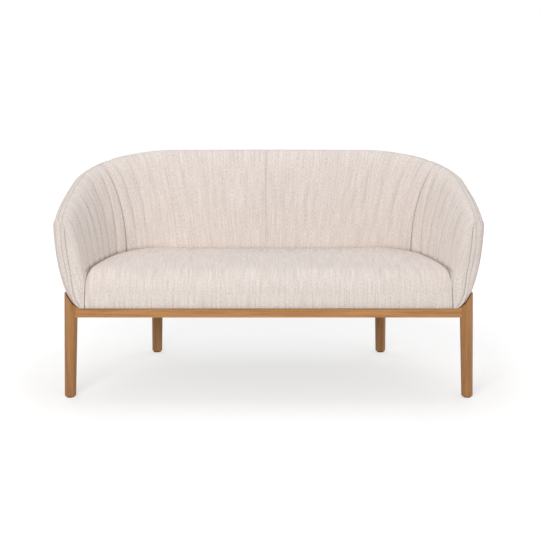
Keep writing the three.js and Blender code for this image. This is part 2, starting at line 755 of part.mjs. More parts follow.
// Legs: round, tapered, leaning outward, with a small rounded edge at the foot
const leg_kinds = [
  { kind: 'front', x: front_leg_x, y: front_y + front_leg_setback, splay: front_leg_splay,
    diameter: front_leg_top_diameter },
  { kind: 'back', x: back_leg_x, y: back_y + back_leg_outset, splay: back_leg_splay,
    diameter: back_leg_top_diameter },
];
const legs = leg_kinds.flatMap((leg) => sides.map(({ name, sign }) => ({
  ...leg, side: name, name: `${leg.kind}_${name}_leg`, sign, x: sign * leg.x,
  footX: sign * (leg.x + tan(leg.splay) * (rail_top_height - rail_height / 2)),
})));

// A leg leans by sliding each level sideways, so its foot stays level
function legRound(leg, grow, from, to) {
  const radiusAt = (z) => (leg.diameter - leg_foot_taper_width * (1 - z / rail_bottom)) / 2 + grow;
  const edge = foot_edge_radius * foot_edge_share;
  const profile = [
    new THREE.Vector2(0, from), new THREE.Vector2(radiusAt(from) - foot_edge_radius, from),
    new THREE.Vector2(radiusAt(from) - edge, from + edge),
    new THREE.Vector2(radiusAt(from), from + foot_edge_radius),
    new THREE.Vector2(radiusAt(to), to), new THREE.Vector2(0, to)];
  const lean = new THREE.Matrix4().makeShear(0, 0, 0, 0, -leg.sign * tan(leg.splay), 0);
  return new THREE.LatheGeometry(profile, leg_facets)
    .rotateX(PI / 2).applyMatrix4(lean).translate(leg.footX, leg.y, 0);
}

// Line of a rail between two legs
function railLine(from, to, thickness, high, shift = 0) {
  const direction = new THREE.Vector2(to.x - from.x, to.y - from.y);
  const [length, angle] = [direction.length(), direction.angle()];
  return { from, to, length, direction: direction.normalize(), angle, thickness, high, shift };
}

const [front_left, front_right, back_left, back_right] = legs;
const rail_lines = {
  front_rail: railLine(front_left, front_right, rail_thickness, true,
    front_rail_setback + rail_thickness / 2 - front_leg_setback),
  back_rail: railLine(back_left, back_right, rail_thickness, true),
  left_side_rail: railLine(front_left, back_left, side_rail_thickness, false),
  right_side_rail: railLine(front_right, back_right, side_rail_thickness, false),
};

// Box along a rail, placed by distances from its first leg's axis
function alongRail(line, start, end, halfThickness, z0, z1, shift) {
  return box(start, end, shift - halfThickness, shift + halfThickness, z0, z1)
    .rotateZ(line.angle).translate(line.from.x, line.from.y, 0);
}

function railTenons(line, grow) {
  const height = rail_tenon_height_share * rail_height;
  const low = line.high ? rail_top_height - rail_tenon_edge - height : rail_bottom + rail_tenon_edge;
  const start = front_leg_top_diameter / 2 - rail_tenon_depth - grow;
  const end = front_leg_top_diameter;
  return [[start, end], [line.length - end, line.length - start]].map(([from, to]) => alongRail(
    line, from, to, rail_tenon_thickness / 2 + grow, low - grow, low + height + grow, 0));
}

const front_rail_back_y = front_y + front_rail_setback + rail_thickness;
const back_rail_front_y = back_left.y - rail_thickness / 2;

function crossTenon(grow) {
  return box(-rail_tenon_thickness / 2 - grow, rail_tenon_thickness / 2 + grow,
    front_rail_back_y - cross_tenon_depth - grow, back_rail_front_y + cross_tenon_depth + grow,
    rail_bottom + rail_height / 3 - grow, rail_top_height - rail_height / 3 + grow);
}

function rail(line) {
  const blank = alongRail(line, 0, line.length, line.thickness / 2, rail_bottom, rail_top_height, line.shift);
  const ends = [line.from, line.to];
  const coped = cut(blank, ...ends.map((leg) => legRound(leg, fit, 0, leg_top)));
  const cutters = ends.map((leg) => boltHole(leg, cornerBlock(leg)));
  if (line.high) cutters.push(crossTenon(fit));
  return cut(join(coped, ...railTenons(line, 0)), ...cutters);
}

function crossRail() {
  const body = box(-rail_thickness / 2, rail_thickness / 2, front_rail_back_y + fit, back_rail_front_y - fit,
    rail_bottom, rail_top_height);
  return join(body, crossTenon(0));
}

// Corner blocks sit between two rails and the leg, and a bolt draws the leg to them
function cornerBlock(leg) {
  const across = leg.kind === 'front' ? rail_lines.front_rail : rail_lines.back_rail;
  const along = leg.side === 'left' ? rail_lines.left_side_rail : rail_lines.right_side_rail;
  const back = leg.kind === 'front' ? 1 : -1;
  const run = along.direction.clone().multiplyScalar(back);
  const normal = new THREE.Vector2(-leg.sign * abs(run.y), -abs(run.x));
  const faceY = leg.y + across.shift + back * (across.thickness / 2 + fit);
  const axis = new THREE.Vector2(leg.x, leg.y);
  const facePoint = axis.clone().addScaledVector(normal, along.thickness / 2 + fit);
  const corner = facePoint.clone().addScaledVector(run, (faceY - facePoint.y) / run.y);
  const inward = new THREE.Vector2(-leg.sign, 0);
  const reached = (way) => corner.clone().addScaledVector(way, block_leg_length);
  const outline = [corner, reached(inward), reached(run)];
  const middle = outline[1].clone().add(outline[2]).divideScalar(2);
  return { outline, middle, aim: axis.clone().sub(middle).normalize(), distance: middle.distanceTo(axis) };
}

// Round bar on a bolt's line, between two distances from its block's face
function alongBolt(block, from, to, diameter, facets) {
  return new THREE.CylinderGeometry(diameter / 2, diameter / 2, to - from, facets)
    .translate(0, (from + to) / 2, 0).rotateZ(block.aim.angle() - PI / 2)
    .translate(block.middle.x, block.middle.y, rail_top_height - rail_height / 2);
}

const boltLength = (leg, block) => block.distance - leg.diameter / 2 + bolt_grip_length;
const boltHole = (leg, block) => alongBolt(
  block, -bolt_head_height, boltLength(leg, block) + fit, bolt_diameter + 2 * fit, bolt_facets);

function blockSolid(leg, block) {
  const outline = THREE.ShapeUtils.area(block.outline) < 0 ? [...block.outline].reverse() : block.outline;
  const body = prism(outline, rail_bottom + block_margin, rail_top_height - block_margin);
  return cut(body, legRound(leg, fit, 0, leg_top), boltHole(leg, block));
}

function bolt(leg, block) {
  const shaft = alongBolt(block, -bolt_head_height / 2, boltLength(leg, block), bolt_diameter, bolt_facets);
  return join(shaft, alongBolt(block, -bolt_head_height - fit, -fit, bolt_head_diameter, 6));
}

// Round bar on a leg's foot, up from the floor
function footBar(leg, diameter, height, facets) {
  return new THREE.CylinderGeometry(diameter / 2, diameter / 2, height, facets)
    .rotateX(PI / 2).translate(leg.footX, leg.y, height / 2);
}

const glideStem = (leg, grow) => footBar(
  leg, glide_stem_diameter + 2 * grow, glide_thickness + glide_stem_length + grow, bolt_facets);

function glide(leg) {
  return join(footBar(leg, glide_diameter, glide_thickness, 2 * bolt_facets), glideStem(leg, 0));
}

function legSolid(leg, block) {
  const round = legRound(leg, 0, glide_thickness + fit, leg_top);
  const tenons = Object.values(rail_lines)
    .filter((line) => line.from === leg || line.to === leg).flatMap((line) => railTenons(line, fit));
  const isFront = leg.kind === 'front';
  const stretch = isFront
    ? spread(half_path - 4 * leg_round, half_path, 4)
    : spread(back_run - 2 * leg_round, lap_at, 8);
  const shell = legCutter(stretch.map((a) => leg.sign * a), isFront ? front_roll_depth : 0);
  return cut(round, ...tenons, boltHole(leg, block), glideStem(leg, fit), shell);
}

// Seat: rings that follow the shell's inner plan, up the sides, over the rolled edge and up the crown
function seatRing(sideInset, frontInset) {
  const frontY = front_y + seat_front_setback + frontInset;
  const inward = layer_gap + sideInset;
  const cornerY = frontY + seat_corner_radius + inward * sin(arm_splay);
  const end = min(half_path, corner_end + (planFrame(corner_end).y - cornerY) / cos(arm_splay));
  const alongs = [
    0, ...spread(back_run, corner_end, 8), ...seat_side_shares.map((share) => mix(corner_end, end, share))];
  const right = alongs.map((a) => place(a, -inward, 0));
  const sideX = right.at(-1).x;
  const corner = [[0, 1], [0.3, 0.3], [1, 0]].map(([x, y]) => new THREE.Vector3(
    sideX - x * seat_corner_radius, frontY + y * seat_corner_radius, 0));
  const rightSide = [...right, ...corner, new THREE.Vector3(sideX / 2, frontY, 0)];
  const leftSide = rightSide.slice(1).reverse().map((p) => new THREE.Vector3(-p.x, p.y, 0));
  return [...rightSide, new THREE.Vector3(0, frontY, 0), ...leftSide];
}

// Height of the seat's top before its crown
function seatTop(point) {
  const share = (point.y - front_y) / inner_depth;
  const [start, end] = seat_slope_shares;
  return seat_line_height + mix(seat_front_rise, seat_back_rise, smooth((share - start) / (end - start)));
}

// The seat's outside, from its foot, which may stand lower at the front, to the peak of its crown
function seatDome(low, lowFront) {
  const level = (ring, height) => ring.map((p) => p.clone().setZ(height(p)));
  const nearFront = (p, inset, run) => smooth((front_y + seat_front_setback + inset + run - p.y) / run);
  const foot = level(seatRing(0, 0), (p) => mix(low, lowFront, nearFront(p, 0, seat_corner_radius)));
  const edges = [0, PI / 6, PI / 3, PI / 2].map((turn) => {
    const frontInset = seat_front_depth * (1 - cos(turn));
    const drop = (p) => mix(seat_side_radius, seat_front_drop, nearFront(p, frontInset, seat_front_blend));
    return level(
      seatRing(seat_side_radius * (1 - cos(turn)), frontInset),
      (p) => seatTop(p) - drop(p) * (1 - sin(turn)));
  });
  const middle = new THREE.Vector3(0, (back_y + front_y) / 2, 0);
  const crowned = (p, share) => p.setZ(seatTop(p) + seat_crown_height * (1 - (1 - share) ** 2));
  const crown = crown_shares.map((share) => edges.at(-1).map(
    (p) => crowned(p.clone().lerp(middle, share), share)));
  return { rings: [foot, ...edges, ...crown], peak: crowned(middle, 1) };
}

// The same dome drawn in by a depth square to it
function drawnIn({ rings, peak }, depth) {
  const moved = rings.map((ring, r) => ring.map((p, i) => {
    const up = (rings[r + 1]?.[i] ?? peak).clone().sub((rings[r - 1] ?? ring)[i]);
    const around = ring[(i + 1) % ring.length].clone().sub(ring.at(i - 1));
    return p.clone().addScaledVector(up.cross(around).normalize(), -depth);
  }));
  return { rings: moved, peak: peak.clone().setZ(peak.z - depth) };
}

// Closed solid under a dome of rings. Its bottom is another dome, or a fan to one point.
function domeSolid(outer, inner) {
  const count = outer.rings[0].length;
  const positions = [];
  const indices = [];
  const skin = (dome) => {
    const start = positions.length / 3;
    positions.push(...[...dome.rings.flat(), dome.peak].flatMap((p) => p.toArray()));
    for (let i = 0; i < dome.rings.length - 1; i++) {
      for (let j = 0; j < count; j++) {
        const [a, b] = [start + i * count + j, start + i * count + (j + 1) % count];
        indices.push(a, b, b + count, a, b + count, a + count);
      }
    }
    const top = start + (dome.rings.length - 1) * count;
    for (let j = 0; j < count && dome.rings.length > 0; j++) {
      indices.push(top + j, top + (j + 1) % count, start + dome.rings.length * count);
    }
    return start;
  };
  skin(outer);
  const outerCount = indices.length;
  const second = skin(inner);
  const flipped = indices.splice(outerCount);
  for (let i = 0; i < flipped.length; i += 3) indices.push(flipped[i], flipped[i + 2], flipped[i + 1]);
  for (let j = 0; j < count; j++) {
    const k = (j + 1) % count;
    if (inner.rings.length === 0) indices.push(k, j, second);
    else indices.push(k, j, second + j, k, second + j, second + k);
  }
  return outward(fromArrays(positions, indices));
}

function seatCover() {
  const low = deck_top + layer_gap;
  const dome = seatDome(low, deck_bottom);
  return domeSolid(dome, drawnIn(dome, seat_cover_thickness));
}

function seatFoam() {
  const low = deck_top + fit;
  const bottom = new THREE.Vector3(0, (back_y + front_y) / 2, low);
  const dome = drawnIn(seatDome(low, low), seat_cover_thickness + layer_gap);
  return domeSolid(dome, { rings: [], peak: bottom });
}

// Thin cloth under the base, inside the line of the legs
function dustCover() {
  const top = rail_bottom - fit;
  const frontY = front_y + front_rail_setback + dust_cover_inset;
  const backY = back_left.y + rail_thickness / 2 - dust_cover_inset;
  const right = [
    [front_leg_x - dust_corner_inset, frontY], [front_leg_x - dust_corner_inset, frontY + dust_corner_inset],
    [back_leg_x + dust_corner_inset / 2, backY - 2 * dust_corner_inset],
    [back_leg_x - dust_corner_inset, backY],
  ].map(([x, y]) => new THREE.Vector3(x, y, 0));
  const left = right.map((p) => new THREE.Vector3(-p.x, p.y, 0)).reverse();
  return prism([...right, ...left], top - dust_cover_thickness, top);
}

// Base
for (const leg of legs) {
  const block = cornerBlock(leg);
  const corner = `${leg.kind}_${leg.side}`;
  add(leg.name, legSolid(leg, block), wood_colour, 0.5);
  add(`${corner}_glide`, glide(leg), glide_colour, 0.8);
  add(`${corner}_corner_block`, blockSolid(leg, block), plain_wood_colour, 0.7);
  add(`${corner}_bolt`, bolt(leg, block), steel_colour, 0.4);
}
for (const [name, line] of Object.entries(rail_lines)) add(name, rail(line), wood_colour, 0.5);
add('cross_rail', crossRail(), plain_wood_colour, 0.7);
add('dust_cover', dustCover(), dust_cloth_colour, 0.9);

// Deck and seat
add('seat_deck', deck(), plain_wood_colour, 0.7);
add('seat_foam', seatFoam(), foam_colour, 0.9);
add('seat_cover', seatCover(), cloth_colour, 0.9);

// Frame of the shell
for (const { name, along } of upright_places) add(name, upright(along), plain_wood_colour, 0.7);
add('top_rail_back', topRailBack(), plain_wood_colour, 0.7);
add('back_liner', liner(boardStops(-liner_end, liner_end)), liner_colour, 0.8);

// Padding and cloth of the shell
add('back_foam', backFoam(), foam_colour, 0.9);
add('outer_pad_back', padding(false, outerBackColumns()), foam_colour, 0.9);
add('outside_back', plainCloth(outerBackColumns()), cloth_colour, 0.9);
for (const { name, sign } of sides) {
  const armLow = deck_top + layer_gap;
  add(`top_rail_${name}`, topRailArm(sign), plain_wood_colour, 0.7);
  const linerStops = boardStops(liner_end + layer_gap, frame_end).map((a) => sign * a);
  add(`arm_liner_${name}`, liner(linerStops), liner_colour, 0.8);
  add(`inside_back_${name}`, quiltedCloth(backColumns(sign, columns_per_channel)), cloth_colour, 0.9);
  const armCloth = quiltedCloth(armColumns(sign, columns_per_channel, armLow, deck_bottom));
  add(`inside_arm_${name}`, armCloth, cloth_colour, 0.9);
  add(`arm_foam_${name}`, armFoam(sign), foam_colour, 0.9);
  add(`outer_pad_${name}`, padding(false, outerArmColumns(sign)), foam_colour, 0.9);
  add(`outside_arm_${name}`, plainCloth(outerArmColumns(sign)), cloth_colour, 0.9);
}

export default settee;
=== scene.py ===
"""The looks of the high back settee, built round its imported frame.

The shell and the seat are worked out in millimetres, from the same sizes as the solids, and are
turned into metres where a mesh is made.
"""
from math import atan2, cos, exp, hypot, pi, radians, sin, tan

import bpy
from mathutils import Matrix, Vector, noise


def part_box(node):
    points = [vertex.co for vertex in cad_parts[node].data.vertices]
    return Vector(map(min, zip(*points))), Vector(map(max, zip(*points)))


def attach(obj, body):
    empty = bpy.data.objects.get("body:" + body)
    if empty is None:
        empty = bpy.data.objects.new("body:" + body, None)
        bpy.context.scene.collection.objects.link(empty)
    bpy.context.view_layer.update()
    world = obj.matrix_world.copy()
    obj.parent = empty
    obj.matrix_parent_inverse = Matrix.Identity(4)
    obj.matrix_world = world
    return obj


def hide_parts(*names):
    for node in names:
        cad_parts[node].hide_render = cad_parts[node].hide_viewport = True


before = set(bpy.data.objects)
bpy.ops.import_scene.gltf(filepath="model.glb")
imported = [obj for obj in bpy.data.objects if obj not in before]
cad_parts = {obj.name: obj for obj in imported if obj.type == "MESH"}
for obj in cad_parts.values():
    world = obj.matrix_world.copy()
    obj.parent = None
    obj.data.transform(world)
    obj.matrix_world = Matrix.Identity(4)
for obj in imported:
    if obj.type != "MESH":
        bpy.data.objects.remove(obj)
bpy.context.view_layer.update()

MM = 0.001

# Heights of the shell above the floor
OVERALL_HEIGHT = 820
ARM_TIP_HEIGHT = 689
SEAT_LINE = 455
DECK_BOTTOM = 351.3
DECK_TOP = 369.3

# Plan of the shell's inner face at the seat line
INNER_HALF_WIDTH = 668
INNER_DEPTH = 478
CORNER_RADIUS = 226
ARM_SPLAY = radians(12.95)
FRONT_TURN = radians(4)

# Section of the shell
BACK_REACH = 165
ARM_REACH = 110
BACK_FOOT = 55
ARM_FOOT = 26
ROLL_WIDTH = 72
ROLL_RISE = 34
BELLY_POWER = 1.9
INNER_REACHES = [0, 0.12, 0.4, 1]
INNER_RISES = [0, 0.4, 1, 1]
REACH_KNOTS = [0, 0.35, 0.5, 0.65, 0.8, 1]
REACHES = [1, 0.91, 0.71, 0.545, 0.42, 0]
DROP_KNOTS = [0, 0.4, 0.52, 0.62, 0.72, 0.82, 0.91, 1]
DROPS = [0, 0, 0.085, 0.225, 0.41, 0.6, 0.76, 1]
FOOT_START = 0.25
FOOT_END = 0.85
FOOT_LEAN = 4.5

# Front roll of the arms and the seam on it
FRONT_ROLL = 30
BAND_WIDTH = 44
BAND_FOOT_WIDTH = 24
BAND_TAPER = 150
SEAM_FOOT = 14
SEAM_DROP = 26
SEAM_ANGLE = radians(75)
ARM_SEAM_ANGLE = radians(88)
CREST_ROW = 1 + pi / 2 / (pi - SEAM_ANGLE)
LEVELS = list(range(8))
INNER_ROWS = [-1, -0.5, 0, 0.5, 1, (1 + CREST_ROW) / 2, CREST_ROW, 2]
OUTER_ROWS = [2, 1.85, 1.7, 1.5, 1.25, 1, 0.5, 0]
SEAM_HEIGHTS = [0, 0.08, 0.22, 0.44, 0.69, 0.87, 0.96, 1]
INNER_ROLL_RADII = [1.0, 1.2, 5, 26, 40, 40, 27, 14]
OUTER_ROLL_RADII = [28, 28, 28, 28, 28, 28, 21, 14]
INNER_CLOTH = [3, 3, 7, 12, 12, 12, 12, 12]
FRONT_SEAM_GAP = 0.8
ROW_STEP = 1e-3

# Channels
BACK_SEAM_SHARES = [0, 0.142, 0.257, 0.385, 0.505, 0.62, 0.72, 0.825, 0.915, 1]
BACK_CHANNELS = len(BACK_SEAM_SHARES) - 1
ARM_CHANNELS = 6
CENTRE_SEAM = -11
PANEL_SEAM_LOW = 0.583
PANEL_SEAM_TOP = 0.612
LAST_SEAM = 0.932
OUTSIDE_CHANNEL = 8
CHANNEL_STEPS = 14
SEAM_BOW = 13
BOW_POWER = 0.9
LAST_BOW_SHARE = 0.4

# Worked-out places
front_y = -(INNER_DEPTH + BACK_REACH) / 2
back_y = front_y + INNER_DEPTH
straight_depth = INNER_DEPTH - FRONT_ROLL
tangent_length = CORNER_RADIUS * tan((pi / 2 - ARM_SPLAY) / 2)
back_run = INNER_HALF_WIDTH - straight_depth * tan(ARM_SPLAY) - tangent_length
corner_run = CORNER_RADIUS * (pi / 2 - ARM_SPLAY)
arm_run = straight_depth / cos(ARM_SPLAY) - tangent_length
corner_end = back_run + corner_run
half_path = corner_end + arm_run


def clamp(value, low=0.0, high=1.0):
    return max(low, min(high, value))


def mix(a, b, t):
    return a + (b - a) * t


def smooth(t):
    t = clamp(t)
    return t * t * (3 - 2 * t)


def bend(pulls, t):
    """Cubic curve pulled by four values."""
    a, b, c, d = pulls
    return a * (1 - t) ** 3 + 3 * t * (1 - t) * (b * (1 - t) + c * t) + d * t ** 3


def bell(distance, width):
    """1 at a line, fading to both sides of it."""
    return exp(-(distance / width) ** 2)


def spread(start, end, steps):
    return [mix(start, end, i / steps) for i in range(steps + 1)]


def table(knots, values, t):
    """Value at t on a smooth curve through a table, which keeps between its points."""
    last = len(knots) - 1

    def rise(i):
        return (values[i + 1] - values[i]) / (knots[i + 1] - knots[i])

    def slope(i):
        if i == 0:
            return 0
        if i == last:
            return rise(last - 1)
        before, after = rise(i - 1), rise(i)
        return 0 if before * after <= 0 else 2 * before * after / (before + after)

    i = max([k for k in range(last) if k == 0 or t > knots[k]])
    span = knots[i + 1] - knots[i]
    s = (t - knots[i]) / span
    return ((1 + 2 * s) * (1 - s) ** 2 * values[i] + s * (1 - s) ** 2 * slope(i) * span
            + (3 - 2 * s) * s ** 2 * values[i + 1] + (s - 1) * s ** 2 * slope(i + 1) * span)


# The shell's surface, as in the solids

def plan_frame(along):
    """Point of the inner face's plan and the outward direction there."""
    side = -1 if along < 0 else 1
    run = abs(along)
    x, y, angle = run, back_y, pi / 2
    if run > back_run:
        angle = max(ARM_SPLAY, pi / 2 - (run - back_run) / CORNER_RADIUS)
        x = back_run + CORNER_RADIUS * cos(angle)
        y = back_y - CORNER_RADIUS + CORNER_RADIUS * sin(angle)
    beyond = run - corner_end
    if beyond > 0:
        x += beyond * sin(ARM_SPLAY)
        y -= beyond * cos(ARM_SPLAY)
        angle = mix(ARM_SPLAY, FRONT_TURN, smooth(beyond / arm_run))
    return side * x, y, side * cos(angle), sin(angle)


def place(along, reach, height, forward=0.0):
    x, y, out_x, out_y = plan_frame(along)
    return Vector((x + reach * out_x, y + reach * out_y - forward, height))


class Section:
    """Sizes of the shell's section at a distance along the plan."""

    def __init__(self, along):
        t = min(abs(along) / half_path, 1)
        to_arm = smooth((t - FOOT_START) / (FOOT_END - FOOT_START))
        self.reach = mix(ARM_REACH, BACK_REACH, table(REACH_KNOTS, REACHES, t))
        self.top = OVERALL_HEIGHT - (OVERALL_HEIGHT - ARM_TIP_HEIGHT) * table(DROP_KNOTS, DROPS, t)
        self.foot = mix(BACK_FOOT, ARM_FOOT, to_arm)
        self.middle = self.reach - ROLL_WIDTH / 2
        self.roll_z = self.top - ROLL_RISE
        self.seam_angle = mix(SEAM_ANGLE, ARM_SEAM_ANGLE, to_arm)
        self.foot_lean = FOOT_LEAN * to_arm

    def outer_reach(self, height):
        share = clamp((self.roll_z - height) / (self.roll_z - DECK_BOTTOM))
        return self.foot + (self.reach - self.foot) * (1 - share ** BELLY_POWER) ** (1 / BELLY_POWER)

    def roll(self, angle):
        return self.middle + ROLL_WIDTH / 2 * cos(angle), self.roll_z + ROLL_RISE * sin(angle)

    def inner(self, row, low):
        if row < 0:
            return self.foot_lean * row * row, mix(SEAT_LINE, low, -row)
        if row <= CREST_ROW:
            t = row / CREST_ROW
            height = mix(SEAT_LINE, self.roll_z + ROLL_RISE, bend(INNER_RISES, t))
            return self.middle * bend(INNER_REACHES, t), height
        return self.roll(mix(pi / 2, self.seam_angle, (row - CREST_ROW) / (2 - CREST_ROW)))

    def outer(self, row):
        if row <= 1:
            return self.roll(mix(self.seam_angle, 0, row))
        if row < 1.5:
            height = mix(self.roll_z, SEAT_LINE, 2 * row - 2)
        else:
            height = mix(SEAT_LINE, DECK_BOTTOM, sin((2 * row - 3) * pi / 2))
        return self.outer_reach(height), height

    def outline(self, is_inner, row, low):
        return self.inner(row, low) if is_inner else self.outer(row)

    def seam_distance(self, is_inner, row, low):
        """Distance of a row of either side from the seam at the section's top."""
        here = self.outline(is_inner, row, low)
        seam = self.outline(is_inner, 2 if is_inner else 0, low)
        return hypot(here[0] - seam[0], here[1] - seam[1])

    def front_seam(self, level, is_inner, gap):
        seam_top = self.roll_z + ROLL_RISE * sin(self.seam_angle) - SEAM_DROP
        height = mix(DECK_BOTTOM, seam_top, table(LEVELS, SEAM_HEIGHTS, level))
        grown = smooth((height - DECK_BOTTOM) / BAND_TAPER)
        reach = max(SEAM_FOOT, self.outer_reach(height) - mix(BAND_FOOT_WIDTH, BAND_WIDTH, grown))
        return reach + (-gap if is_inner else gap) / 2, height


def level_of(is_inner, row):
    """Place of a row among the levels that the seam on the front is divided into."""
    rows = INNER_ROWS if is_inner else OUTER_ROWS
    for j in range(len(rows) - 1):
        if min(rows[j], rows[j + 1]) <= row <= max(rows[j], rows[j + 1]):
            return j + (row - rows[j]) / (rows[j + 1] - rows[j])
    return 0


def front_roll(section, is_inner, row, at, gap):
    """Radius of the roll beside a row of an arm's front, the seam's point there, and the distance to it."""
    level = level_of(is_inner, row)
    radius = table(LEVELS, INNER_ROLL_RADII if is_inner else OUTER_ROLL_RADII, level)
    seam = section.front_seam(level, is_inner, gap)
    return radius, seam, hypot(seam[0] - at[0], seam[1] - at[1])


def surface(is_inner, along, row, depth, low=DECK_BOTTOM, front=None, lift=0.0):
    """World point of the cloth. front runs from 0 to 1 round the roll of an arm's front and from
    1 to 2 across the front to the seam. lift moves an arm's front face forward."""
    section = Section(along)
    reach, height = section.outline(is_inner, row, low)
    r0, z0 = section.outline(is_inner, max(row - ROW_STEP, -1), low)
    r1, z1 = section.outline(is_inner, min(row + ROW_STEP, 2), low)
    length = hypot(r1 - r0, z1 - z0)
    reach, height = reach + depth * (z1 - z0) / length, height - depth * (r1 - r0) / length
    if front is None:
        return place(along, reach, height)
    radius, seam, across = front_roll(section, is_inner, row, (reach, height), FRONT_SEAM_GAP)
    turn = min(front, 1) * pi / 2
    share = min(radius - depth, across) * (1 - cos(turn)) / across
    share = mix(share, 1, max(front - 1, 0))
    forward = FRONT_ROLL - radius + (radius - depth) * sin(turn) + lift
    return place(along, mix(reach, seam[0], share), mix(height, seam[1], share), forward)


def from_seam(is_inner, along, row, low, front):
    """Distance of a place on the cloth from the seam over the crest and down the arm's front."""
    section = Section(along)
    over_crest = section.seam_distance(is_inner, row, low)
    if front is None:
        return over_crest
    at = section.outline(is_inner, row, low)
    radius, _, across = front_roll(section, is_inner, row, at, 0)
    left = across - min(radius, across) * (1 - cos(min(front, 1) * pi / 2))
    return min(over_crest, left * (1 - max(front - 1, 0)))


def bow(height_at):
    """How far the seams of the corners and arms bow towards the back at a height share."""
    return SEAM_BOW * sin(pi * height_at ** BOW_POWER)


def back_seam(k, height_at, sign):
    """Distance along the plan of channel k's seam on the back at a height share."""
    crest = (CORNER_RADIUS + BACK_REACH - ROLL_WIDTH) / CORNER_RADIUS
    centre = sign * CENTRE_SEAM
    before = min(int(k), BACK_CHANNELS - 1)
    share = mix(BACK_SEAM_SHARES[before], BACK_SEAM_SHARES[before + 1], k - before)
    low = mix(centre, PANEL_SEAM_LOW * half_path, share)
    top = mix(centre, back_run + (PANEL_SEAM_TOP * half_path - back_run) * crest, share)
    if top > back_run:
        top = back_run + (top - back_run) / crest
    return sign * (mix(low, top, height_at) - bow(height_at) * (k / BACK_CHANNELS) ** 2)


def arm_seam(k, height_at, sign):
    low = PANEL_SEAM_LOW * half_path
    pitch = (LAST_SEAM * half_path - low) / ARM_CHANNELS
    if k >= 1:
        share = (k - 1) / (ARM_CHANNELS - 1)
        return sign * (low + k * pitch - bow(height_at) * mix(1, LAST_BOW_SHARE, share))
    straight = mix(mix(low, PANEL_SEAM_TOP * half_path, height_at), low + pitch, k)
    return sign * (straight - bow(height_at))


# Meshes

# Where on the cloth each panel is cut from
CLOTH_PLACES = {
    "channelled_back_left": 0, "channelled_back_right": 900,
    "channelled_arm_left": 2000, "channelled_arm_right": 3000,
    "outer_back_cover": 4000, "outer_arm_cover_left": 6000, "outer_arm_cover_right": 8000,
    "seat_cushion": 10000,
}


class Build:
    """Mesh under construction: points in millimetres with a place on the cloth and a share of painted
    shade.
    """

    def __init__(self):
        self.points, self.places, self.creases, self.faces = [], [], [], []
        self.sharp = set()

    def point(self, at, cloth_place, crease=0.0):
        self.points.append(at)
        self.places.append(cloth_place)
        self.creases.append(crease)
        return len(self.points) - 1

    def grid(self, columns, flip=False, closed=False):
        """Faces between columns of point numbers."""
        pairs = list(zip(columns, columns[1:] + ([columns[0]] if closed else [])))
        for one, other in pairs:
            for i in range(len(one) - 1):
                quad = [one[i], other[i], other[i + 1], one[i + 1]]
                quad = [p for n, p in enumerate(quad) if p != quad[n - 1]]
                self.faces.append(quad[::-1] if flip else quad)

    def rim(self, numbers):
        self.sharp.update(tuple(sorted(pair)) for pair in zip(numbers, numbers[1:]))

    def finish(self, name, material):
        mesh = bpy.data.meshes.new(name)
        mesh.from_pydata([Vector(p) * MM for p in self.points], [], self.faces)
        cloth_places = [value for at in self.places for value in (*at, 0)]
        mesh.attributes.new("cloth_place", "FLOAT_VECTOR", "POINT").data.foreach_set("vector", cloth_places)
        mesh.attributes.new("crease", "FLOAT", "POINT").data.foreach_set("value", self.creases)
        mesh.polygons.foreach_set("use_smooth", [True] * len(mesh.polygons))
        for edge in mesh.edges:
            edge.use_edge_sharp = tuple(sorted(edge.vertices)) in self.sharp
        mesh.materials.append(material)
        mesh.validate()
        return add_object(name, mesh)


def add_object(name, data):
    made = bpy.data.objects.new(name, data)
    bpy.context.scene.collection.objects.link(made)
    return made


def piece(made, slot, *nodes):
    """The piece rides on the one body and stands in for CAD nodes, which it hides. slot is not used."""
    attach(made, "root")
    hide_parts(*nodes)
    return made


def side_name(sign):
    return "left" if sign < 0 else "right"


def add_column(grids, points):
    """One more column for each of the face, the back and the painted shade of a panel."""
    for grid, column in zip(grids, zip(*points)):
        grid.append(list(column))


def panel(name, grids, material):
    """Closed panel of cloth and wadding from two grids of points that face each other."""
    face, back, creases = grids
    drift = CLOTH_PLACES[name]
    build = Build()
    width = [0.0]
    middle = len(face[0]) // 2
    for one, other in zip(face, face[1:]):
        width.append(width[-1] + (other[middle] - one[middle]).length)
    sides = []
    for points in (face, back):
        columns = []
        for c, column in enumerate(points):
            run, numbers = 0.0, []
            for r, at in enumerate(column):
                if r:
                    run += (at - column[r - 1]).length
                numbers.append(build.point(at, (width[c] + drift, run), creases[c][r]))
            columns.append(numbers)
        sides.append(columns)
    front, rear = sides
    build.grid(front)
    build.grid(rear, flip=True)
    build.grid([front[0], rear[0]], flip=True)
    build.grid([front[-1], rear[-1]])
    for end, flip in ((0, False), (-1, True)):
        edge = [[f[end] for f in front], [b[end] for b in rear]]
        build.grid(edge, flip=not flip)
        build.rim(edge[0])
        build.rim(edge[1])
    for column in (front[0], front[-1], rear[0], rear[-1]):
        build.rim(column)
    made = build.finish(name, material)
    outward(made)
    return made


def outward(made):
    """Turns the faces of a closed piece outward."""
    mesh = made.data
    volume = sum(mesh.vertices[p.vertices[0]].co.dot(p.normal) * p.area for p in mesh.polygons)
    if volume < 0:
        mesh.flip_normals()


def unevenness(at, size, scale):
    """Slight hand-made unevenness of stuffed cloth."""
    return size * noise.noise(Vector(at) / scale)


# Materials

def new_node(tree, kind, inputs=(), **settings):
    made = tree.nodes.new(kind)
    for key, value in settings.items():
        setattr(made, key, value)
    for key, value in dict(inputs).items():
        if isinstance(value, bpy.types.NodeSocket):
            tree.links.new(value, made.inputs[key])
        else:
            made.inputs[key].default_value = value
    return made


def blank_material(name):
    material = bpy.data.materials.new(name)
    material.use_nodes = True
    material.node_tree.nodes.clear()
    return material, material.node_tree


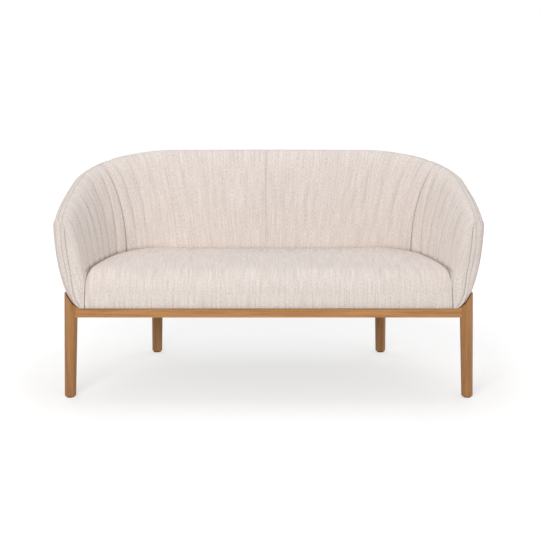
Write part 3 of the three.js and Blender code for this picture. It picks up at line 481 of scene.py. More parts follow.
def new_material(name):
    material, tree = blank_material(name)
    shader = new_node(tree, "ShaderNodeBsdfPrincipled")
    new_node(tree, "ShaderNodeOutputMaterial", {"Surface": shader.outputs[0]})
    return material, tree, shader


def scaled_noise(tree, vector, scale, detail=2, rough=0.5, turn=0.0, distortion=0.0):
    """Noise whose grain is as wide along each axis as the inverse of scale."""
    turned = new_node(tree, "ShaderNodeMapping", {"Vector": vector, "Rotation": (0, 0, turn)})
    mapped = new_node(tree, "ShaderNodeMapping", {"Vector": turned.outputs[0], "Scale": scale})
    made = new_node(tree, "ShaderNodeTexNoise", {
        "Vector": mapped.outputs[0], "Scale": 1, "Detail": detail, "Roughness": rough,
        "Distortion": distortion})
    return made.outputs["Fac"]


def ramp(tree, fac, stops):
    made = new_node(tree, "ShaderNodeValToRGB", {"Fac": fac})
    elements = made.color_ramp.elements
    while len(elements) < len(stops):
        elements.new(0.5)
    for element, (position, colour) in zip(elements, stops):
        element.position = position
        element.color = (*colour, 1)
    return made.outputs["Color"]


def maths(tree, operation, a, b):
    return new_node(tree, "ShaderNodeMath", {0: a, 1: b}, operation=operation).outputs[0]


def weighted(tree, a, weight_a, b, weight_b):
    return maths(tree, "ADD", maths(tree, "MULTIPLY", a, weight_a), maths(tree, "MULTIPLY", b, weight_b))


def mixed(tree, blend, fac, a, b):
    made = new_node(tree, "ShaderNodeMix", data_type="RGBA", blend_type=blend)
    for index, value in ((0, fac), (6, a), (7, b)):
        if isinstance(value, bpy.types.NodeSocket):
            tree.links.new(value, made.inputs[index])
        else:
            made.inputs[index].default_value = value
    return made.outputs[2]


def bump(tree, shader, height, distance, strength):
    made = new_node(tree, "ShaderNodeBump", {"Height": height, "Distance": distance, "Strength": strength})
    tree.links.new(made.outputs[0], shader.inputs["Normal"])


def mottled_gloss(tree, shader, tone, low, high):
    """Roughness between two values, from one end of the tone to the other."""
    gloss = new_node(tree, "ShaderNodeMapRange", {"Value": tone, "To Min": low, "To Max": high})
    tree.links.new(gloss.outputs[0], shader.inputs["Roughness"])


CLOTH_LIGHT = (0.89, 0.82, 0.785)
CLOTH_DARK = (0.62, 0.545, 0.50)
# Colour of the painted shade in creases, seams, channel valleys and the fold where the seat meets the shell
CLOTH_SHADE_COLOUR = (0.36, 0.29, 0.25)
YARN_PITCH = 1.5
YARN_WEIGHT = 0.35
TONE_WEIGHT = 2.2
# Height of the raised grain in metres
CLOTH_RELIEF = 0.00045
WOOD_RELIEF = 0.00025
# How much wider the broad mottling of a plain material is than its grain
BROAD_GRAIN = 12
# Strength of the painted shade at a full share
PAINTED_SHADE_TINT = 0.6
# Width and length of the grain in mm, detail and weight: warp, weft, heather, streaks, broad streaks
CLOTH_LAYERS = [
    (2.6, 9, 2, 0.42),
    (9, 1.4, 3, 0.12),
    (1.1, 1.6, 2, 0.2),
    (3.4, 80, 2, 0.26),
    (11, 190, 1, 0.16),
]
TONE_SHIFT = 0.08


def cloth_material():
    """Heathered plain weave. Its coordinates are millimetres across and along the cloth."""
    material, tree, shader = new_material("oatmeal_weave")
    at = new_node(tree, "ShaderNodeAttribute", attribute_name="cloth_place").outputs["Vector"]
    crease = new_node(tree, "ShaderNodeAttribute", attribute_name="crease").outputs["Fac"]
    tone = -TONE_SHIFT
    for width, length, detail, weight in CLOTH_LAYERS:
        grain = scaled_noise(tree, at, (1 / width, 1 / length, 1), detail)
        tone = maths(tree, "ADD", tone, maths(tree, "MULTIPLY", grain, weight))
    colour = ramp(tree, tone, [(0.36, CLOTH_DARK), (0.6, CLOTH_LIGHT)])
    # Painted shade: the weave darkens towards the shade colour by a share stored on the mesh
    shaded_colour = mixed(tree, "MIX", maths(tree, "MULTIPLY", crease, PAINTED_SHADE_TINT), colour, (*CLOTH_SHADE_COLOUR, 1))
    tree.links.new(shaded_colour, shader.inputs["Base Color"])
    yarns = new_node(tree, "ShaderNodeVectorMath", {0: at, 1: (2 * pi / YARN_PITCH,) * 3},
                     operation="MULTIPLY").outputs[0]
    parts = new_node(tree, "ShaderNodeSeparateXYZ", {0: yarns})
    across = maths(tree, "SINE", parts.outputs[0], 0)
    lengthways = maths(tree, "SINE", parts.outputs[1], 0)
    weave = maths(tree, "MULTIPLY", across, lengthways)
    raised = weighted(tree, weave, YARN_WEIGHT, tone, TONE_WEIGHT)
    bump(tree, shader, raised, CLOTH_RELIEF, strength=0.8)
    mottled_gloss(tree, shader, tone, 0.82, 0.98)
    shader.inputs["Specular IOR Level"].default_value = 0.2
    shader.inputs["Sheen Weight"].default_value = 0.12
    shader.inputs["Sheen Roughness"].default_value = 0.5
    return material


def wood_material(name, light, dark, along, turn=0.0, rough=0.5, coat=0.0):
    """Straight-grained wood. along is the grain's axis, before a turn about the vertical."""
    material, tree, shader = new_material(name)
    at = new_node(tree, "ShaderNodeTexCoord").outputs["Object"]

    def scale(across_mm, along_mm):
        return tuple(1 / (MM * (along_mm if axis == along else across_mm)) for axis in range(3))

    figure = scaled_noise(tree, at, scale(16, 420), detail=3, rough=0.55, turn=turn, distortion=0.6)
    fibre = scaled_noise(tree, at, scale(1.6, 70), detail=3, rough=0.6, turn=turn)
    pores = scaled_noise(tree, at, scale(0.7, 14), detail=1, turn=turn)
    tone = weighted(tree, figure, 0.6, fibre, 0.4)
    middle = tuple((a + b) / 2 for a, b in zip(light, dark))
    colour = ramp(tree, tone, [(0.34, dark), (0.47, middle), (0.62, light)])
    specks = ramp(tree, pores, [(0.3, (0.62, 0.56, 0.5)), (0.42, (1, 1, 1))])
    tree.links.new(mixed(tree, "MULTIPLY", 0.45, colour, specks), shader.inputs["Base Color"])
    raised = weighted(tree, fibre, 0.6, pores, 0.5)
    bump(tree, shader, raised, WOOD_RELIEF, strength=0.5)
    mottled_gloss(tree, shader, tone, rough + 0.1, rough - 0.1)
    shader.inputs["Specular IOR Level"].default_value = 0.4
    shader.inputs["Coat Weight"].default_value = coat
    shader.inputs["Coat Roughness"].default_value = 0.35
    return material


def plain_material(name, light, dark, grain_mm, rough, relief_mm=0.1, metallic=0.0):
    """Finely mottled material for board, metal, plastic and thin cloth."""
    material, tree, shader = new_material(name)
    at = new_node(tree, "ShaderNodeTexCoord").outputs["Object"]
    fine = scaled_noise(tree, at, (1 / (MM * grain_mm),) * 3, detail=3)
    broad = scaled_noise(tree, at, (1 / (MM * grain_mm * BROAD_GRAIN),) * 3)
    tone = weighted(tree, fine, 0.6, broad, 0.4)
    tree.links.new(ramp(tree, tone, [(0.36, dark), (0.62, light)]), shader.inputs["Base Color"])
    bump(tree, shader, fine, relief_mm * MM, strength=0.6)
    mottled_gloss(tree, shader, tone, rough - 0.08, rough + 0.08)
    shader.inputs["Metallic"].default_value = metallic
    return material


HONEY = (0.56, 0.285, 0.10)
HONEY_DARK = (0.32, 0.135, 0.04)
# The honey wood painted darker for the legs, as shade on their round, less lit sides
LEG_SHADED = (0.45, 0.222, 0.075)
LEG_SHADED_DARK = (0.255, 0.103, 0.03)
PALE = (0.66, 0.49, 0.3)
PALE_DARK = (0.5, 0.34, 0.19)
UPRIGHT, ACROSS, DEEP = 2, 0, 1
SIDE_RAIL_ACROSS = 279.5
SIDE_RAIL_DEEP = 530

cloth = cloth_material()
# The legs take the darker copy of the honey wood: painted shade
shaded_leg_wood = wood_material("honey_wood_legs_painted_darker", LEG_SHADED, LEG_SHADED_DARK, UPRIGHT, coat=0.15)
rail_wood = wood_material("honey_wood_rails", HONEY, HONEY_DARK, ACROSS, coat=0.15)
side_turn = atan2(SIDE_RAIL_DEEP, SIDE_RAIL_ACROSS)
left_wood = wood_material("honey_wood_left_rail", HONEY, HONEY_DARK, ACROSS, turn=-side_turn, coat=0.15)
right_wood = wood_material("honey_wood_right_rail", HONEY, HONEY_DARK, ACROSS, turn=side_turn, coat=0.15)
pale_upright = wood_material("plain_wood_uprights", PALE, PALE_DARK, UPRIGHT, rough=0.7)
pale_across = wood_material("plain_wood_boards", PALE, PALE_DARK, ACROSS, rough=0.7)
pale_deep = wood_material("plain_wood_cross_rail", PALE, PALE_DARK, DEEP, rough=0.7)
board = plain_material("pressed_board", (0.3, 0.18, 0.09), (0.2, 0.11, 0.05), grain_mm=1.2, rough=0.75)
steel = plain_material("zinc_plate", (0.5, 0.5, 0.48), (0.36, 0.36, 0.35), grain_mm=3, rough=0.4,
                       relief_mm=0.02, metallic=1.0)
plastic = plain_material("dark_moulding", (0.045, 0.038, 0.03), (0.03, 0.026, 0.021), grain_mm=0.6,
                         rough=0.55, relief_mm=0.05)
dust_cloth = plain_material("black_dust_cloth", (0.05, 0.048, 0.046), (0.018, 0.017, 0.016), grain_mm=0.9,
                            rough=0.92, relief_mm=0.15)

# CAD nodes that stay as they are get their finish by the first of these words in their names
FINISHES = {
    "front_rail": rail_wood, "back_rail": rail_wood,
    "left_side_rail": left_wood, "right_side_rail": right_wood,
    "cross_rail": pale_deep, "seat_deck": pale_across,
    "_leg": shaded_leg_wood, "_glide": plastic, "_bolt": steel, "_liner": board,
    "_upright": pale_upright, "arm_post": pale_upright, "_block": pale_across, "top_rail": pale_across,
}
for node_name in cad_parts:
    finish = next((FINISHES[word] for word in FINISHES if word in node_name), None)
    if finish:
        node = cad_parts[node_name]
        node.data.materials.clear()
        node.data.materials.append(finish)


# Inside of the shell: channelled cloth

CREST_START = CREST_ROW - 0.12
inner_rows = (spread(-1, 0, 5) + spread(0, 1, 26)[1:] + spread(1, CREST_START, 12)[1:]
              + spread(CREST_START, CREST_ROW, 10)[1:] + spread(CREST_ROW, 2, 8)[1:])
LOW_INSIDE = DECK_TOP + 0.8
CENTRE_GAP = 0.1
CORNER_GAP = 0.2
SEAM_DEEP = 1.5
SEAM_SOFT = 4.5
# Painted shade along the seam over the crest, and the width of such painted lines
SEAM_PAINTED_SHADE = 0.7
SHADE_LINE_WIDTH = 1.4
BACK_CHANNEL_DEPTH = 0.7
CORNER_CHANNEL_DEPTH = 3.8
DEPTH_POWER = 1.6
ARM_CHANNEL_DEPTH = 5.4
LAST_CHANNEL_SHARE = 0.6
CENTRE_SEAM_DEPTH = 0.7
# Weights of the shade painted along the channels' stitches, at the corner seam and at the centre seam
CHANNEL_SHADE = 0.5
CORNER_SEAM_SHADE = 1
CENTRE_SEAM_SHADE = 3.2
PULL_POWER = 1.6
# Shade painted in the channels' valleys
VALLEY_SHADE = 0.2
CREASE_DEPTH = 2.2
CREASE_WIDTH = 1.6
FRONT_SWELL = 3.0
SWELL_ROWS = 1.2
PLAIN_POWER = 3.2
# Share of a channel's depth that is left below the seat line and towards the top, and over which rows
BELOW_SEAT = 0.8
BACK_LOW = 0.4
BACK_LOW_ROWS = 0.7
BACK_HIGH = 0.4
BACK_HIGH_START, BACK_HIGH_ROWS = 1.1, 0.8
ARM_HIGH = 0.03
CORNER_HIGH = 0.25
ARM_HIGH_START, ARM_HIGH_ROWS = 1.15, 0.5
# Share of a fold that the back of the cloth and its wadding follow
BACK_FOLLOWS = 0.3
FRONT_BACK_FOLLOWS = 0.5
OUTER_BACK_FOLLOWS = 0.4
# Painted shade in the fold along the line where the seat meets the shell
CONTACT_DROP = 2
CONTACT_WIDTH = 5
CONTACT_BACK = 0.25
CONTACT_RUN = 120
CONTACT_FRONT = 10
CONTACT_FRONT_RUN = 40

# Slope of the seat's top from the front to the back, in shares of the seat's depth
SEAT_FRONT_RISE = 28
SEAT_BACK_RISE = 6
SEAT_BACK_SINK = 6
SINK_HALF = 480
SLOPE_START, SLOPE_END = 0.19, 0.9


def seat_top(point):
    """Height of the seat's top before its crown."""
    share = (point.y - front_y) / INNER_DEPTH
    slope = smooth((share - SLOPE_START) / (SLOPE_END - SLOPE_START))
    sink = SEAT_BACK_SINK * smooth(2 - 2 * abs(point.x) / SINK_HALF)
    return SEAT_LINE + mix(SEAT_FRONT_RISE, SEAT_BACK_RISE - sink, slope)


def channel_fade(row, part):
    """Share of the channels' depth at a row of the back, an arm or the corner between them."""
    if row < 0:
        return smooth(row + 1) * BELOW_SEAT
    if part == "back":
        towards_top = smooth((row - BACK_HIGH_START) / BACK_HIGH_ROWS)
        return mix(BACK_LOW, 1, smooth(row / BACK_LOW_ROWS)) * mix(1, BACK_HIGH, towards_top)
    towards_top = smooth((row - ARM_HIGH_START) / ARM_HIGH_ROWS)
    return mix(1, ARM_HIGH if part == "arm" else CORNER_HIGH, towards_top)


def channel_stops(count):
    """Channel numbers with columns close together beside each seam."""
    shares = [0.5 - 0.5 * cos(pi * i / CHANNEL_STEPS) for i in range(CHANNEL_STEPS)]
    return [k + s for k in range(count) for s in shares] + [count]


def quilting(k, pitch, row, depth, part, shade_weight):
    """How far the cloth is drawn in at a place in its channels, and how much shade is painted there along
    the stitches and in the valleys.
    """
    share = k % 1
    pull = (1 - sin(pi * share)) ** PULL_POWER
    fade = channel_fade(row, part)
    stitch = bell(min(share, 1 - share) * pitch, CREASE_WIDTH)
    share_of_depth = depth / ARM_CHANNEL_DEPTH
    drawn = (depth * pull + CREASE_DEPTH * stitch * share_of_depth) * fade
    return drawn, shade_weight * (stitch + VALLEY_SHADE * pull) * fade * share_of_depth


def contact_shade_share(point):
    """How much shade is painted in the fold between seat and shell: most beside the arms, least behind
    their fronts.
    """
    beside = mix(CONTACT_BACK, 1, smooth((abs(point.x) - back_run) / CONTACT_RUN))
    return beside * smooth((point.y - front_y - CONTACT_FRONT) / CONTACT_FRONT_RUN)


def inside_point(along, row, drawn, crease, low=LOW_INSIDE, front=None, lift=0.0):
    """Points of the cloth's face and of the wadding's back, with the share of shade painted there in seams,
    creases and the fold at the seat.
    """
    to_seam = from_seam(True, along, row, low, front)
    dip = SEAM_DEEP * bell(to_seam, SEAM_SOFT)
    at = surface(True, along, row, drawn + dip, low, front, lift)
    depth = table(LEVELS, INNER_CLOTH, level_of(True, row))
    back = surface(True, along, row, depth + drawn * BACK_FOLLOWS, low, front, lift * FRONT_BACK_FOLLOWS)
    # Painted shade in the fold where the seat meets the shell
    contact_shade = bell(at.z - seat_top(at) + CONTACT_DROP, CONTACT_WIDTH) * contact_shade_share(at)
    return at, back, clamp(crease + SEAM_PAINTED_SHADE * bell(to_seam, SHADE_LINE_WIDTH) + contact_shade)


def height_share(row):
    return bend(INNER_RISES, clamp(row / CREST_ROW))


def inside_back(sign):
    grids = ([], [], [])
    pitch = PANEL_SEAM_LOW * half_path / BACK_CHANNELS
    for k in channel_stops(BACK_CHANNELS):
        edge = clamp(k, CENTRE_GAP / pitch, BACK_CHANNELS - CORNER_GAP / pitch)
        depth = mix(BACK_CHANNEL_DEPTH, CORNER_CHANNEL_DEPTH, (k / BACK_CHANNELS) ** DEPTH_POWER)
        shade_weight = CHANNEL_SHADE
        if k > BACK_CHANNELS - 0.5:
            depth, shade_weight = ARM_CHANNEL_DEPTH, CORNER_SEAM_SHADE
        elif k < 0.5:
            depth, shade_weight = CENTRE_SEAM_DEPTH, CENTRE_SEAM_SHADE
        points = []
        for row in inner_rows:
            drawn, crease = quilting(k, pitch, row, depth, "back", shade_weight)
            points.append(inside_point(back_seam(edge, height_share(row), sign), row, drawn, crease))
        add_column(grids, points)
    return panel(f"channelled_back_{side_name(sign)}", grids, cloth)


FRONT_STOPS = spread(0, 1, 12) + [1.12, 1.25, 1.4, 1.55, 1.68, 1.78, 1.86, 1.92, 1.96, 1.985, 2]


def inside_arm(sign):
    """The arm's channels, the plain cloth in front of them and the roll of the arm's front."""
    grids = ([], [], [])
    pitch = (LAST_SEAM - PANEL_SEAM_LOW) * half_path / ARM_CHANNELS
    after = LAST_SEAM * half_path
    roll_start = half_path - max(INNER_ROLL_RADII) + FRONT_ROLL

    def channel_column(k):
        depth = ARM_CHANNEL_DEPTH * mix(1, LAST_CHANNEL_SHARE, smooth(k - ARM_CHANNELS + 1.5))
        part, shade_weight = ("corner", CORNER_SEAM_SHADE) if k < 0.5 else ("arm", CHANNEL_SHADE)
        for row in inner_rows:
            along = arm_seam(max(k, CORNER_GAP / pitch), height_share(row), sign)
            yield inside_point(along, row, *quilting(k, pitch, row, depth, part, shade_weight))

    def plain_column(along):
        left = (1 - clamp((along - after) / pitch)) ** PLAIN_POWER
        for row in inner_rows:
            drawn = ARM_CHANNEL_DEPTH * LAST_CHANNEL_SHARE * left * channel_fade(row, "arm")
            yield inside_point(sign * along, row, drawn, 0)

    def front_column(front):
        low = DECK_BOTTOM if front > 0 else LOW_INSIDE
        for row in inner_rows:
            swell = FRONT_SWELL * sin(pi * min(front, 2) / 2) ** 2 * smooth((row + 1) / SWELL_ROWS)
            yield inside_point(sign * half_path, row, 0, 0, low, front, swell)

    for k in channel_stops(ARM_CHANNELS):
        add_column(grids, channel_column(k))
    for along in spread(after, roll_start, 7)[1:-1]:
        add_column(grids, plain_column(along))
    for front in FRONT_STOPS:
        add_column(grids, front_column(front))
    return panel(f"channelled_arm_{side_name(sign)}", grids, cloth)


# Outside of the shell, with a narrow strip between two seams along its edge

STRIP = 16
STRIP_DIP = 1.4
STRIP_SOFT = 2.4
# Painted shade along the strip's second seam
STRIP_PAINTED_SHADE = 0.9
OUTER_CLOTH = 4
outer_rows = ([s ** 1.3 for s in spread(0, 1, 30)] + spread(1, 1.5, 12)[1:]
              + spread(1.5, 1.95, 14)[1:] + [1.97, 1.985, 2])
OUTER_FRONT_STOPS = spread(0, 0.7, 8) + spread(0.74, 1, 8) + spread(1.03, 1.4, 8) + [
    1.5, 1.6, 1.7, 1.78, 1.85, 1.9, 1.94, 1.97, 1.99, 2]

# The upright seam between the outside of the back and an arm, and the columns beside it
OUTSIDE_GAP = 0.5
OUTSIDE_DIP = 2.2
OUTSIDE_SOFT = 6
# Painted shade along the upright seam, and its width
OUTSIDE_PAINTED_SHADE = 0.6
OUTSIDE_SHADE_WIDTH = 1.6
BESIDE_SEAM = [0, 1, 2.2, 4, 6.5, 10, 15, 22]
BEYOND_SEAM = 30


def outside_point(along, row, from_joint=None, front=None):
    """Points of the cloth's two sides and the share of shade painted along the seams. from_joint is how far
    the upright seam is.
    """
    drawn, crease = 0.0, 0.0
    if from_joint is not None:
        drawn = OUTSIDE_DIP * bell(from_joint, OUTSIDE_SOFT)
        crease = OUTSIDE_PAINTED_SHADE * bell(from_joint, OUTSIDE_SHADE_WIDTH)
    to_seam = from_seam(False, along, row, DECK_BOTTOM, front)
    dip = SEAM_DEEP * bell(to_seam, SEAM_SOFT) + STRIP_DIP * bell(to_seam - STRIP, STRIP_SOFT)
    at = surface(False, along, row, dip + drawn, front=front)
    back = surface(False, along, row, OUTER_CLOTH + dip * OUTER_BACK_FOLLOWS, front=front)
    line = SEAM_PAINTED_SHADE * bell(to_seam, SHADE_LINE_WIDTH) + STRIP_PAINTED_SHADE * bell(to_seam - STRIP, SHADE_LINE_WIDTH)
    return at, back, clamp(crease + line)


def outside_back():
    grids = ([], [], [])
    end = back_seam(OUTSIDE_CHANNEL, 1, 1) - OUTSIDE_GAP
    half = spread(0, end - BEYOND_SEAM, 46) + [end - d for d in reversed(BESIDE_SEAM)]
    for along in [-a for a in half[:0:-1]] + half:
        add_column(grids, [outside_point(along, row, end - abs(along)) for row in outer_rows])
    return panel("outer_back_cover", grids, cloth)


def outside_arm(sign):
    grids = ([], [], [])
    start = back_seam(OUTSIDE_CHANNEL, 1, 1) + OUTSIDE_GAP
    for along in [start + d for d in BESIDE_SEAM] + spread(start + BEYOND_SEAM, half_path, 44)[:-1]:
        add_column(grids, [outside_point(sign * along, row, along - start) for row in outer_rows])
    for front in OUTER_FRONT_STOPS:
        add_column(grids, [outside_point(sign * half_path, row, front=front) for row in outer_rows])
    return panel(f"outer_arm_cover_{side_name(sign)}", grids, cloth)


for sign, side in ((-1, "left"), (1, "right")):
    back_panel = piece(inside_back(sign), "woven_cloth", f"inside_back_{side}")
    arm_panel = piece(inside_arm(sign), "woven_cloth", f"inside_arm_{side}", f"arm_foam_{side}")
    piece(outside_arm(sign), "woven_cloth", f"outside_arm_{side}", f"outer_pad_{side}")
    if sign < 0:
        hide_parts("back_foam")
piece(outside_back(), "woven_cloth", "outside_back", "outer_pad_back")


# Seat

SEAT_FRONT_SETBACK = 7
SEAT_CROWN = 8
CROWN_RUN_FRONT = 150
CROWN_RUN_SIDE = 130
SEAT_SIDE_RADIUS = 12
SEAT_FRONT_DEPTH = 95
SEAT_FRONT_DROP = 80
SEAT_FRONT_BLEND = 60
SEAT_CORNER_RADIUS = 0.8
SEAT_GAP = 0.1
SEAT_SWELL = 5.0
SWELL_POWER = 0.8
SEAT_UNEVENNESS = 1.0
SEAT_WAVE = 130
SEAT_HEM = 4
SEAT_HEM_TURN = 7
HEM_RISE = 0.2
# Depth and share of the wall's height of the fold at the foot and of the line above it
FOOT_FOLD = 2.4
FOOT_FOLD_END = 0.07
FOOT_LINE = 1.3
FOOT_LINE_AT = 0.13
FOOT_LINE_WIDTH = 0.035
# Painted shade on the line above the seat's lower edge: strength, height above the deck's bottom and width
FOOT_PAINTED_SHADE = 0.6
FOOT_SHADE_RISE = 3
FOOT_SHADE_WIDTH = 1.6
WALL_SHARES = [0, 0.03, 0.07, 0.1, 0.13, 0.16, 0.2] + spread(0.26, 1, 9)
SEAT_MIDDLE = Vector((0, (back_y + front_y) / 2 + 6, 0))
SEAT_OVAL = (INNER_HALF_WIDTH * 0.82, INNER_DEPTH * 0.36)
seat_front = front_y + SEAT_FRONT_SETBACK


def seat_ring(side_inset, front_inset, height_of):
    """Points round the seat, half of them, from the middle of the back to the middle of the front."""
    line = seat_front + front_inset
    inward = SEAT_GAP + side_inset
    corner_y = line + SEAT_CORNER_RADIUS + inward * sin(ARM_SPLAY)
    end = min(half_path, corner_end + (plan_frame(corner_end)[1] - corner_y) / cos(ARM_SPLAY))
    alongs = spread(0, back_run, 26) + spread(back_run, corner_end, 34)[1:]
    alongs += [mix(corner_end, end, 1 - (1 - s) ** 1.5) for s in spread(0, 1, 32)[1:]]
    points = []
    for a in alongs:
        below = clamp((SEAT_LINE - height_of(place(a, -inward, 0))) / (SEAT_LINE - DECK_BOTTOM))
        points.append(place(a, below ** 2 * Section(a).foot_lean - inward, 0))
    side = points[-1].x
    for turn in spread(0, pi / 2, 8)[1:]:
        x = side - SEAT_CORNER_RADIUS * (1 - cos(turn))
        y = line + SEAT_CORNER_RADIUS * (1 - sin(turn))
        points.append(Vector((x, y, 0)))
    points += [Vector((x, line, 0)) for x in spread(points[-1].x, 0, 36)[1:]]
    return points


def near_front(point, inset, run):
    return smooth((seat_front + inset + run - point.y) / run)


def from_shell(point):
    """Distance of a place on the seat from the shell's inner face."""
    x, y = abs(point.x), point.y
    centre_y = back_y - CORNER_RADIUS
    if x > back_run and atan2(y - centre_y, x - back_run) > ARM_SPLAY:
        return CORNER_RADIUS - hypot(x - back_run, y - centre_y)
    end_x, end_y, out_x, out_y = plan_frame(corner_end)
    beside = (end_x - x) * out_x + (end_y - y) * out_y
    return min(back_y - y, beside)


def seat_height(point):
    front_run = smooth((point.y - seat_front - SEAT_FRONT_DEPTH) / CROWN_RUN_FRONT)
    side_run = smooth((from_shell(point) - SEAT_SIDE_RADIUS) / CROWN_RUN_SIDE)
    rough = unevenness(point, SEAT_UNEVENNESS, SEAT_WAVE)
    return seat_top(point) + SEAT_CROWN * front_run * side_run + rough * side_run


def seat_painted_shade(point):
    """Painted shade in the fold between seat and arm, and on the line above the seat's lower edge."""
    side_shade = bell(from_shell(point), CONTACT_WIDTH) * contact_shade_share(point)
    foot_shade = bell(point.z - DECK_BOTTOM - FOOT_SHADE_RISE, FOOT_SHADE_WIDTH)
    return clamp(side_shade + FOOT_PAINTED_SHADE * foot_shade)


def seat():
    """The tight seat: a wall, a rolled edge and a slightly crowned top."""
    rings = []

    def drop(point, front_inset):
        return mix(SEAT_SIDE_RADIUS, SEAT_FRONT_DROP, near_front(point, front_inset, SEAT_FRONT_BLEND))

    def add_ring(side_inset, front_inset, height_of, path_height_of=None):
        """One ring of points. Its path can be worked out for another height than its own."""
        right = seat_ring(side_inset, front_inset, path_height_of or height_of)
        for p in right:
            p.z = height_of(p)
        rings.append(right + [Vector((-p.x, p.y, p.z)) for p in right[-2:0:-1]])

    def hem_height(point):
        hem_share = near_front(point, SEAT_HEM_TURN, SEAT_CORNER_RADIUS)
        return mix(LOW_INSIDE, DECK_BOTTOM + HEM_RISE, hem_share)

    add_ring(0, SEAT_HEM_TURN, hem_height, lambda point: DECK_BOTTOM)
    for share in WALL_SHARES:
        fold = FOOT_FOLD * (1 - min(share / FOOT_FOLD_END, 1)) ** 2
        fold += FOOT_LINE * bell(share - FOOT_LINE_AT, FOOT_LINE_WIDTH)
        bulge = SEAT_SWELL * sin(pi * clamp(share)) ** SWELL_POWER - fold

        def wall_height(point):
            bottom = mix(LOW_INSIDE, DECK_BOTTOM - SEAT_HEM, near_front(point, 0, SEAT_CORNER_RADIUS))
            return mix(bottom, seat_top(point) - drop(point, 0), share)

        add_ring(0, -bulge, wall_height)
    for turn in spread(0, pi / 2, 18)[1:]:
        front_inset = SEAT_FRONT_DEPTH * (1 - cos(turn))

        def edge_height(point):
            return seat_top(point) - drop(point, front_inset) * (1 - sin(turn))

        add_ring(SEAT_SIDE_RADIUS * (1 - cos(turn)), front_inset, edge_height)
    top = rings[-1]
    for share in [1 - (1 - s) ** 1.4 for s in spread(0, 1, 26)][1:-1]:
        round_off = smooth(share / 0.7)
        ring = []
        for p in top:
            arm = Vector((p.x, p.y, 0)) - SEAT_MIDDLE
            scale = 1 / hypot(arm.x / SEAT_OVAL[0], arm.y / SEAT_OVAL[1])
            at = SEAT_MIDDLE + arm * mix(1, scale, round_off) * (1 - share)
            at.z = seat_height(at)
            ring.append(at)
        rings.append(ring)
    build = Build()
    drift = CLOTH_PLACES["seat_cushion"]
    count = len(rings[0])
    columns = [[] for _ in range(count)]
    for ring in rings:
        for i, at in enumerate(ring):
            lengthways = at.y - max(0, seat_top(at) - at.z)
            columns[i].append(build.point(at, (at.x + drift, lengthways), seat_painted_shade(at)))
    build.grid(columns, closed=True)
    x, y = SEAT_MIDDLE.xy
    peak = build.point(Vector((x, y, seat_height(SEAT_MIDDLE))), (x + drift, y))
    bottom_centre = build.point(Vector((x, y, LOW_INSIDE)), (x + drift, y))
    for i in range(count):
        after = (i + 1) % count
        build.faces.append([columns[i][-1], columns[after][-1], peak])
        build.faces.append([columns[after][0], columns[i][0], bottom_centre])
    build.rim([column[0] for column in columns] + [columns[0][0]])
    made = build.finish("seat_cushion", cloth)
    outward(made)
    return made


seat_piece = piece(seat(), "woven_cloth", "seat_cover", "seat_foam")


# Dust cloth under the base

DUST_CORNER = 40
DUST_BACK_HALF = 404.5
DUST_SIDE_HALF = 472.5
DUST_SAG = 5
DUST_GAP = 0.6
DUST_UNEVENNESS = 0.8
DUST_WAVE = 60


def dust_sheet():
    """The thin sheet with its corners cut off beside the legs."""
    low, high = (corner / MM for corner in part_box("dust_cover"))
    build = Build()
    side_start, side_end = low.y + DUST_CORNER, high.y - 2 * DUST_CORNER
    columns = []
    for v in spread(0, 1, 40):
        column = []
        for u in spread(-1, 1, 60):
            y = mix(low.y, high.y, v)
            half = mix(high.x, DUST_SIDE_HALF, clamp((y - side_start) / (side_end - side_start)))
            half = mix(half, DUST_BACK_HALF, clamp((y - side_end) / (high.y - side_end)))
            at = Vector((u * half, y, 0))
            sag = DUST_SAG * (1 - u ** 4) * (1 - (2 * v - 1) ** 4)
            at.z = high.z - DUST_GAP - sag + unevenness(at, DUST_UNEVENNESS, DUST_WAVE)
            column.append(build.point(at, (at.x, at.y)))
        columns.append(column)
    build.grid(columns)
    return build.finish("dust_cloth", dust_cloth)


dust_piece = piece(dust_sheet(), "dust_cloth", "dust_cover")


# Floor, light and camera

FLOOR_HALF = 60.0
FLOOR_GREY = 0.55
GLOW_NEAR, GLOW_FAR = 0.9, 1.7
GLOW_LOW, GLOW_HIGH = 0.55, 0.78
AMBIENT = 0.4
CAMERA_PLACE = (0.0048, -5.8115, 2.0203)
CAMERA_PITCH = 15.5085
CAMERA_LENS = 105.062
CAMERA_SENSOR = 36
CAMERA_REACH = 200


def seen_rays(tree):
    """1 for what the camera sees straight, in a reflection or through something clear, otherwise 0."""
    rays = new_node(tree, "ShaderNodeLightPath")
    seen = maths(tree, "MAXIMUM", rays.outputs["Is Camera Ray"], rays.outputs["Is Glossy Ray"])
    return maths(tree, "MAXIMUM", seen, rays.outputs["Is Transmission Ray"])


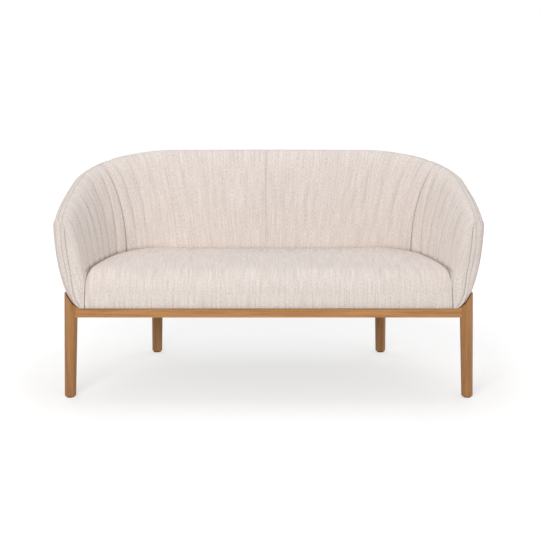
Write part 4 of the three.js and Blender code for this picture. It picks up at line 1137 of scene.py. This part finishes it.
def floor():
    """Pale floor that takes shadows, and glows more the further it is from the settee."""
    mesh = bpy.data.meshes.new("floor")
    corners = [(x * FLOOR_HALF, y * FLOOR_HALF, 0) for x, y in ((-1, -1), (1, -1), (1, 1), (-1, 1))]
    mesh.from_pydata(corners, [], [(0, 1, 2, 3)])
    material, tree = blank_material("pale_floor")
    diffuse = new_node(tree, "ShaderNodeBsdfDiffuse", {"Color": (FLOOR_GREY, FLOOR_GREY, FLOOR_GREY, 1)})
    at = new_node(tree, "ShaderNodeNewGeometry").outputs["Position"]
    away = new_node(tree, "ShaderNodeVectorMath", {0: at}, operation="LENGTH").outputs["Value"]
    level = new_node(tree, "ShaderNodeMapRange", {
        "Value": away, "From Min": GLOW_NEAR, "From Max": GLOW_FAR,
        "To Min": GLOW_LOW, "To Max": GLOW_HIGH}).outputs[0]
    strength = maths(tree, "MULTIPLY", seen_rays(tree), level)
    glow = new_node(tree, "ShaderNodeEmission", {"Strength": strength})
    both = new_node(tree, "ShaderNodeAddShader", {0: diffuse.outputs[0], 1: glow.outputs[0]})
    new_node(tree, "ShaderNodeOutputMaterial", {"Surface": both.outputs[0]})
    mesh.materials.append(material)
    made = add_object("floor", mesh)


def lamp(name, at, target, size, power, colour):
    data = bpy.data.lights.new(name, "AREA")
    data.shape = "RECTANGLE"
    data.size, data.size_y = size
    data.energy = power
    data.color = colour
    made = add_object(name, data)
    made.location = at
    made.rotation_euler = (Vector(target) - Vector(at)).to_track_quat("-Z", "Y").to_euler()


floor()
lamp("key", (-1.7, -4.7, 2.5), (0, 0, 0.5), (2.2, 1.8), 132, (1, 0.965, 0.925))
lamp("fill", (2.5, -4.0, 1.6), (0, 0, 0.4), (2.6, 2.2), 26, (1, 0.97, 0.93))
lamp("overhead", (0, 0.9, 3.6), (0, 0, 0.4), (4.0, 2.4), 46, (0.97, 0.98, 1))
lamp("right_wall", (3.4, -1.1, 0.75), (0.7, -0.2, 0.55), (1.4, 1.0), 14, (1, 0.975, 0.95))
lamp("left_wall", (-3.4, -1.1, 0.75), (-0.7, -0.2, 0.55), (1.4, 1.0), 5, (1, 0.975, 0.95))

world = bpy.data.worlds.new("studio")
bpy.context.scene.world = world
world.use_nodes = True
sky = world.node_tree
sky.nodes.clear()
strength = maths(sky, "ADD", maths(sky, "MULTIPLY", seen_rays(sky), 1 - AMBIENT), AMBIENT)
background = new_node(sky, "ShaderNodeBackground", {"Color": (1, 1, 1, 1), "Strength": strength})
new_node(sky, "ShaderNodeOutputWorld", {"Surface": background.outputs[0]})

camera_data = bpy.data.cameras.new("camera")
camera_data.sensor_width = CAMERA_SENSOR
camera_data.lens = CAMERA_LENS
camera_data.clip_end = CAMERA_REACH
camera = add_object("camera", camera_data)
camera.location = CAMERA_PLACE
camera.rotation_euler = (radians(90 - CAMERA_PITCH), 0, 0)
bpy.context.scene.camera = camera
bpy.context.scene.view_settings.view_transform = "Standard"
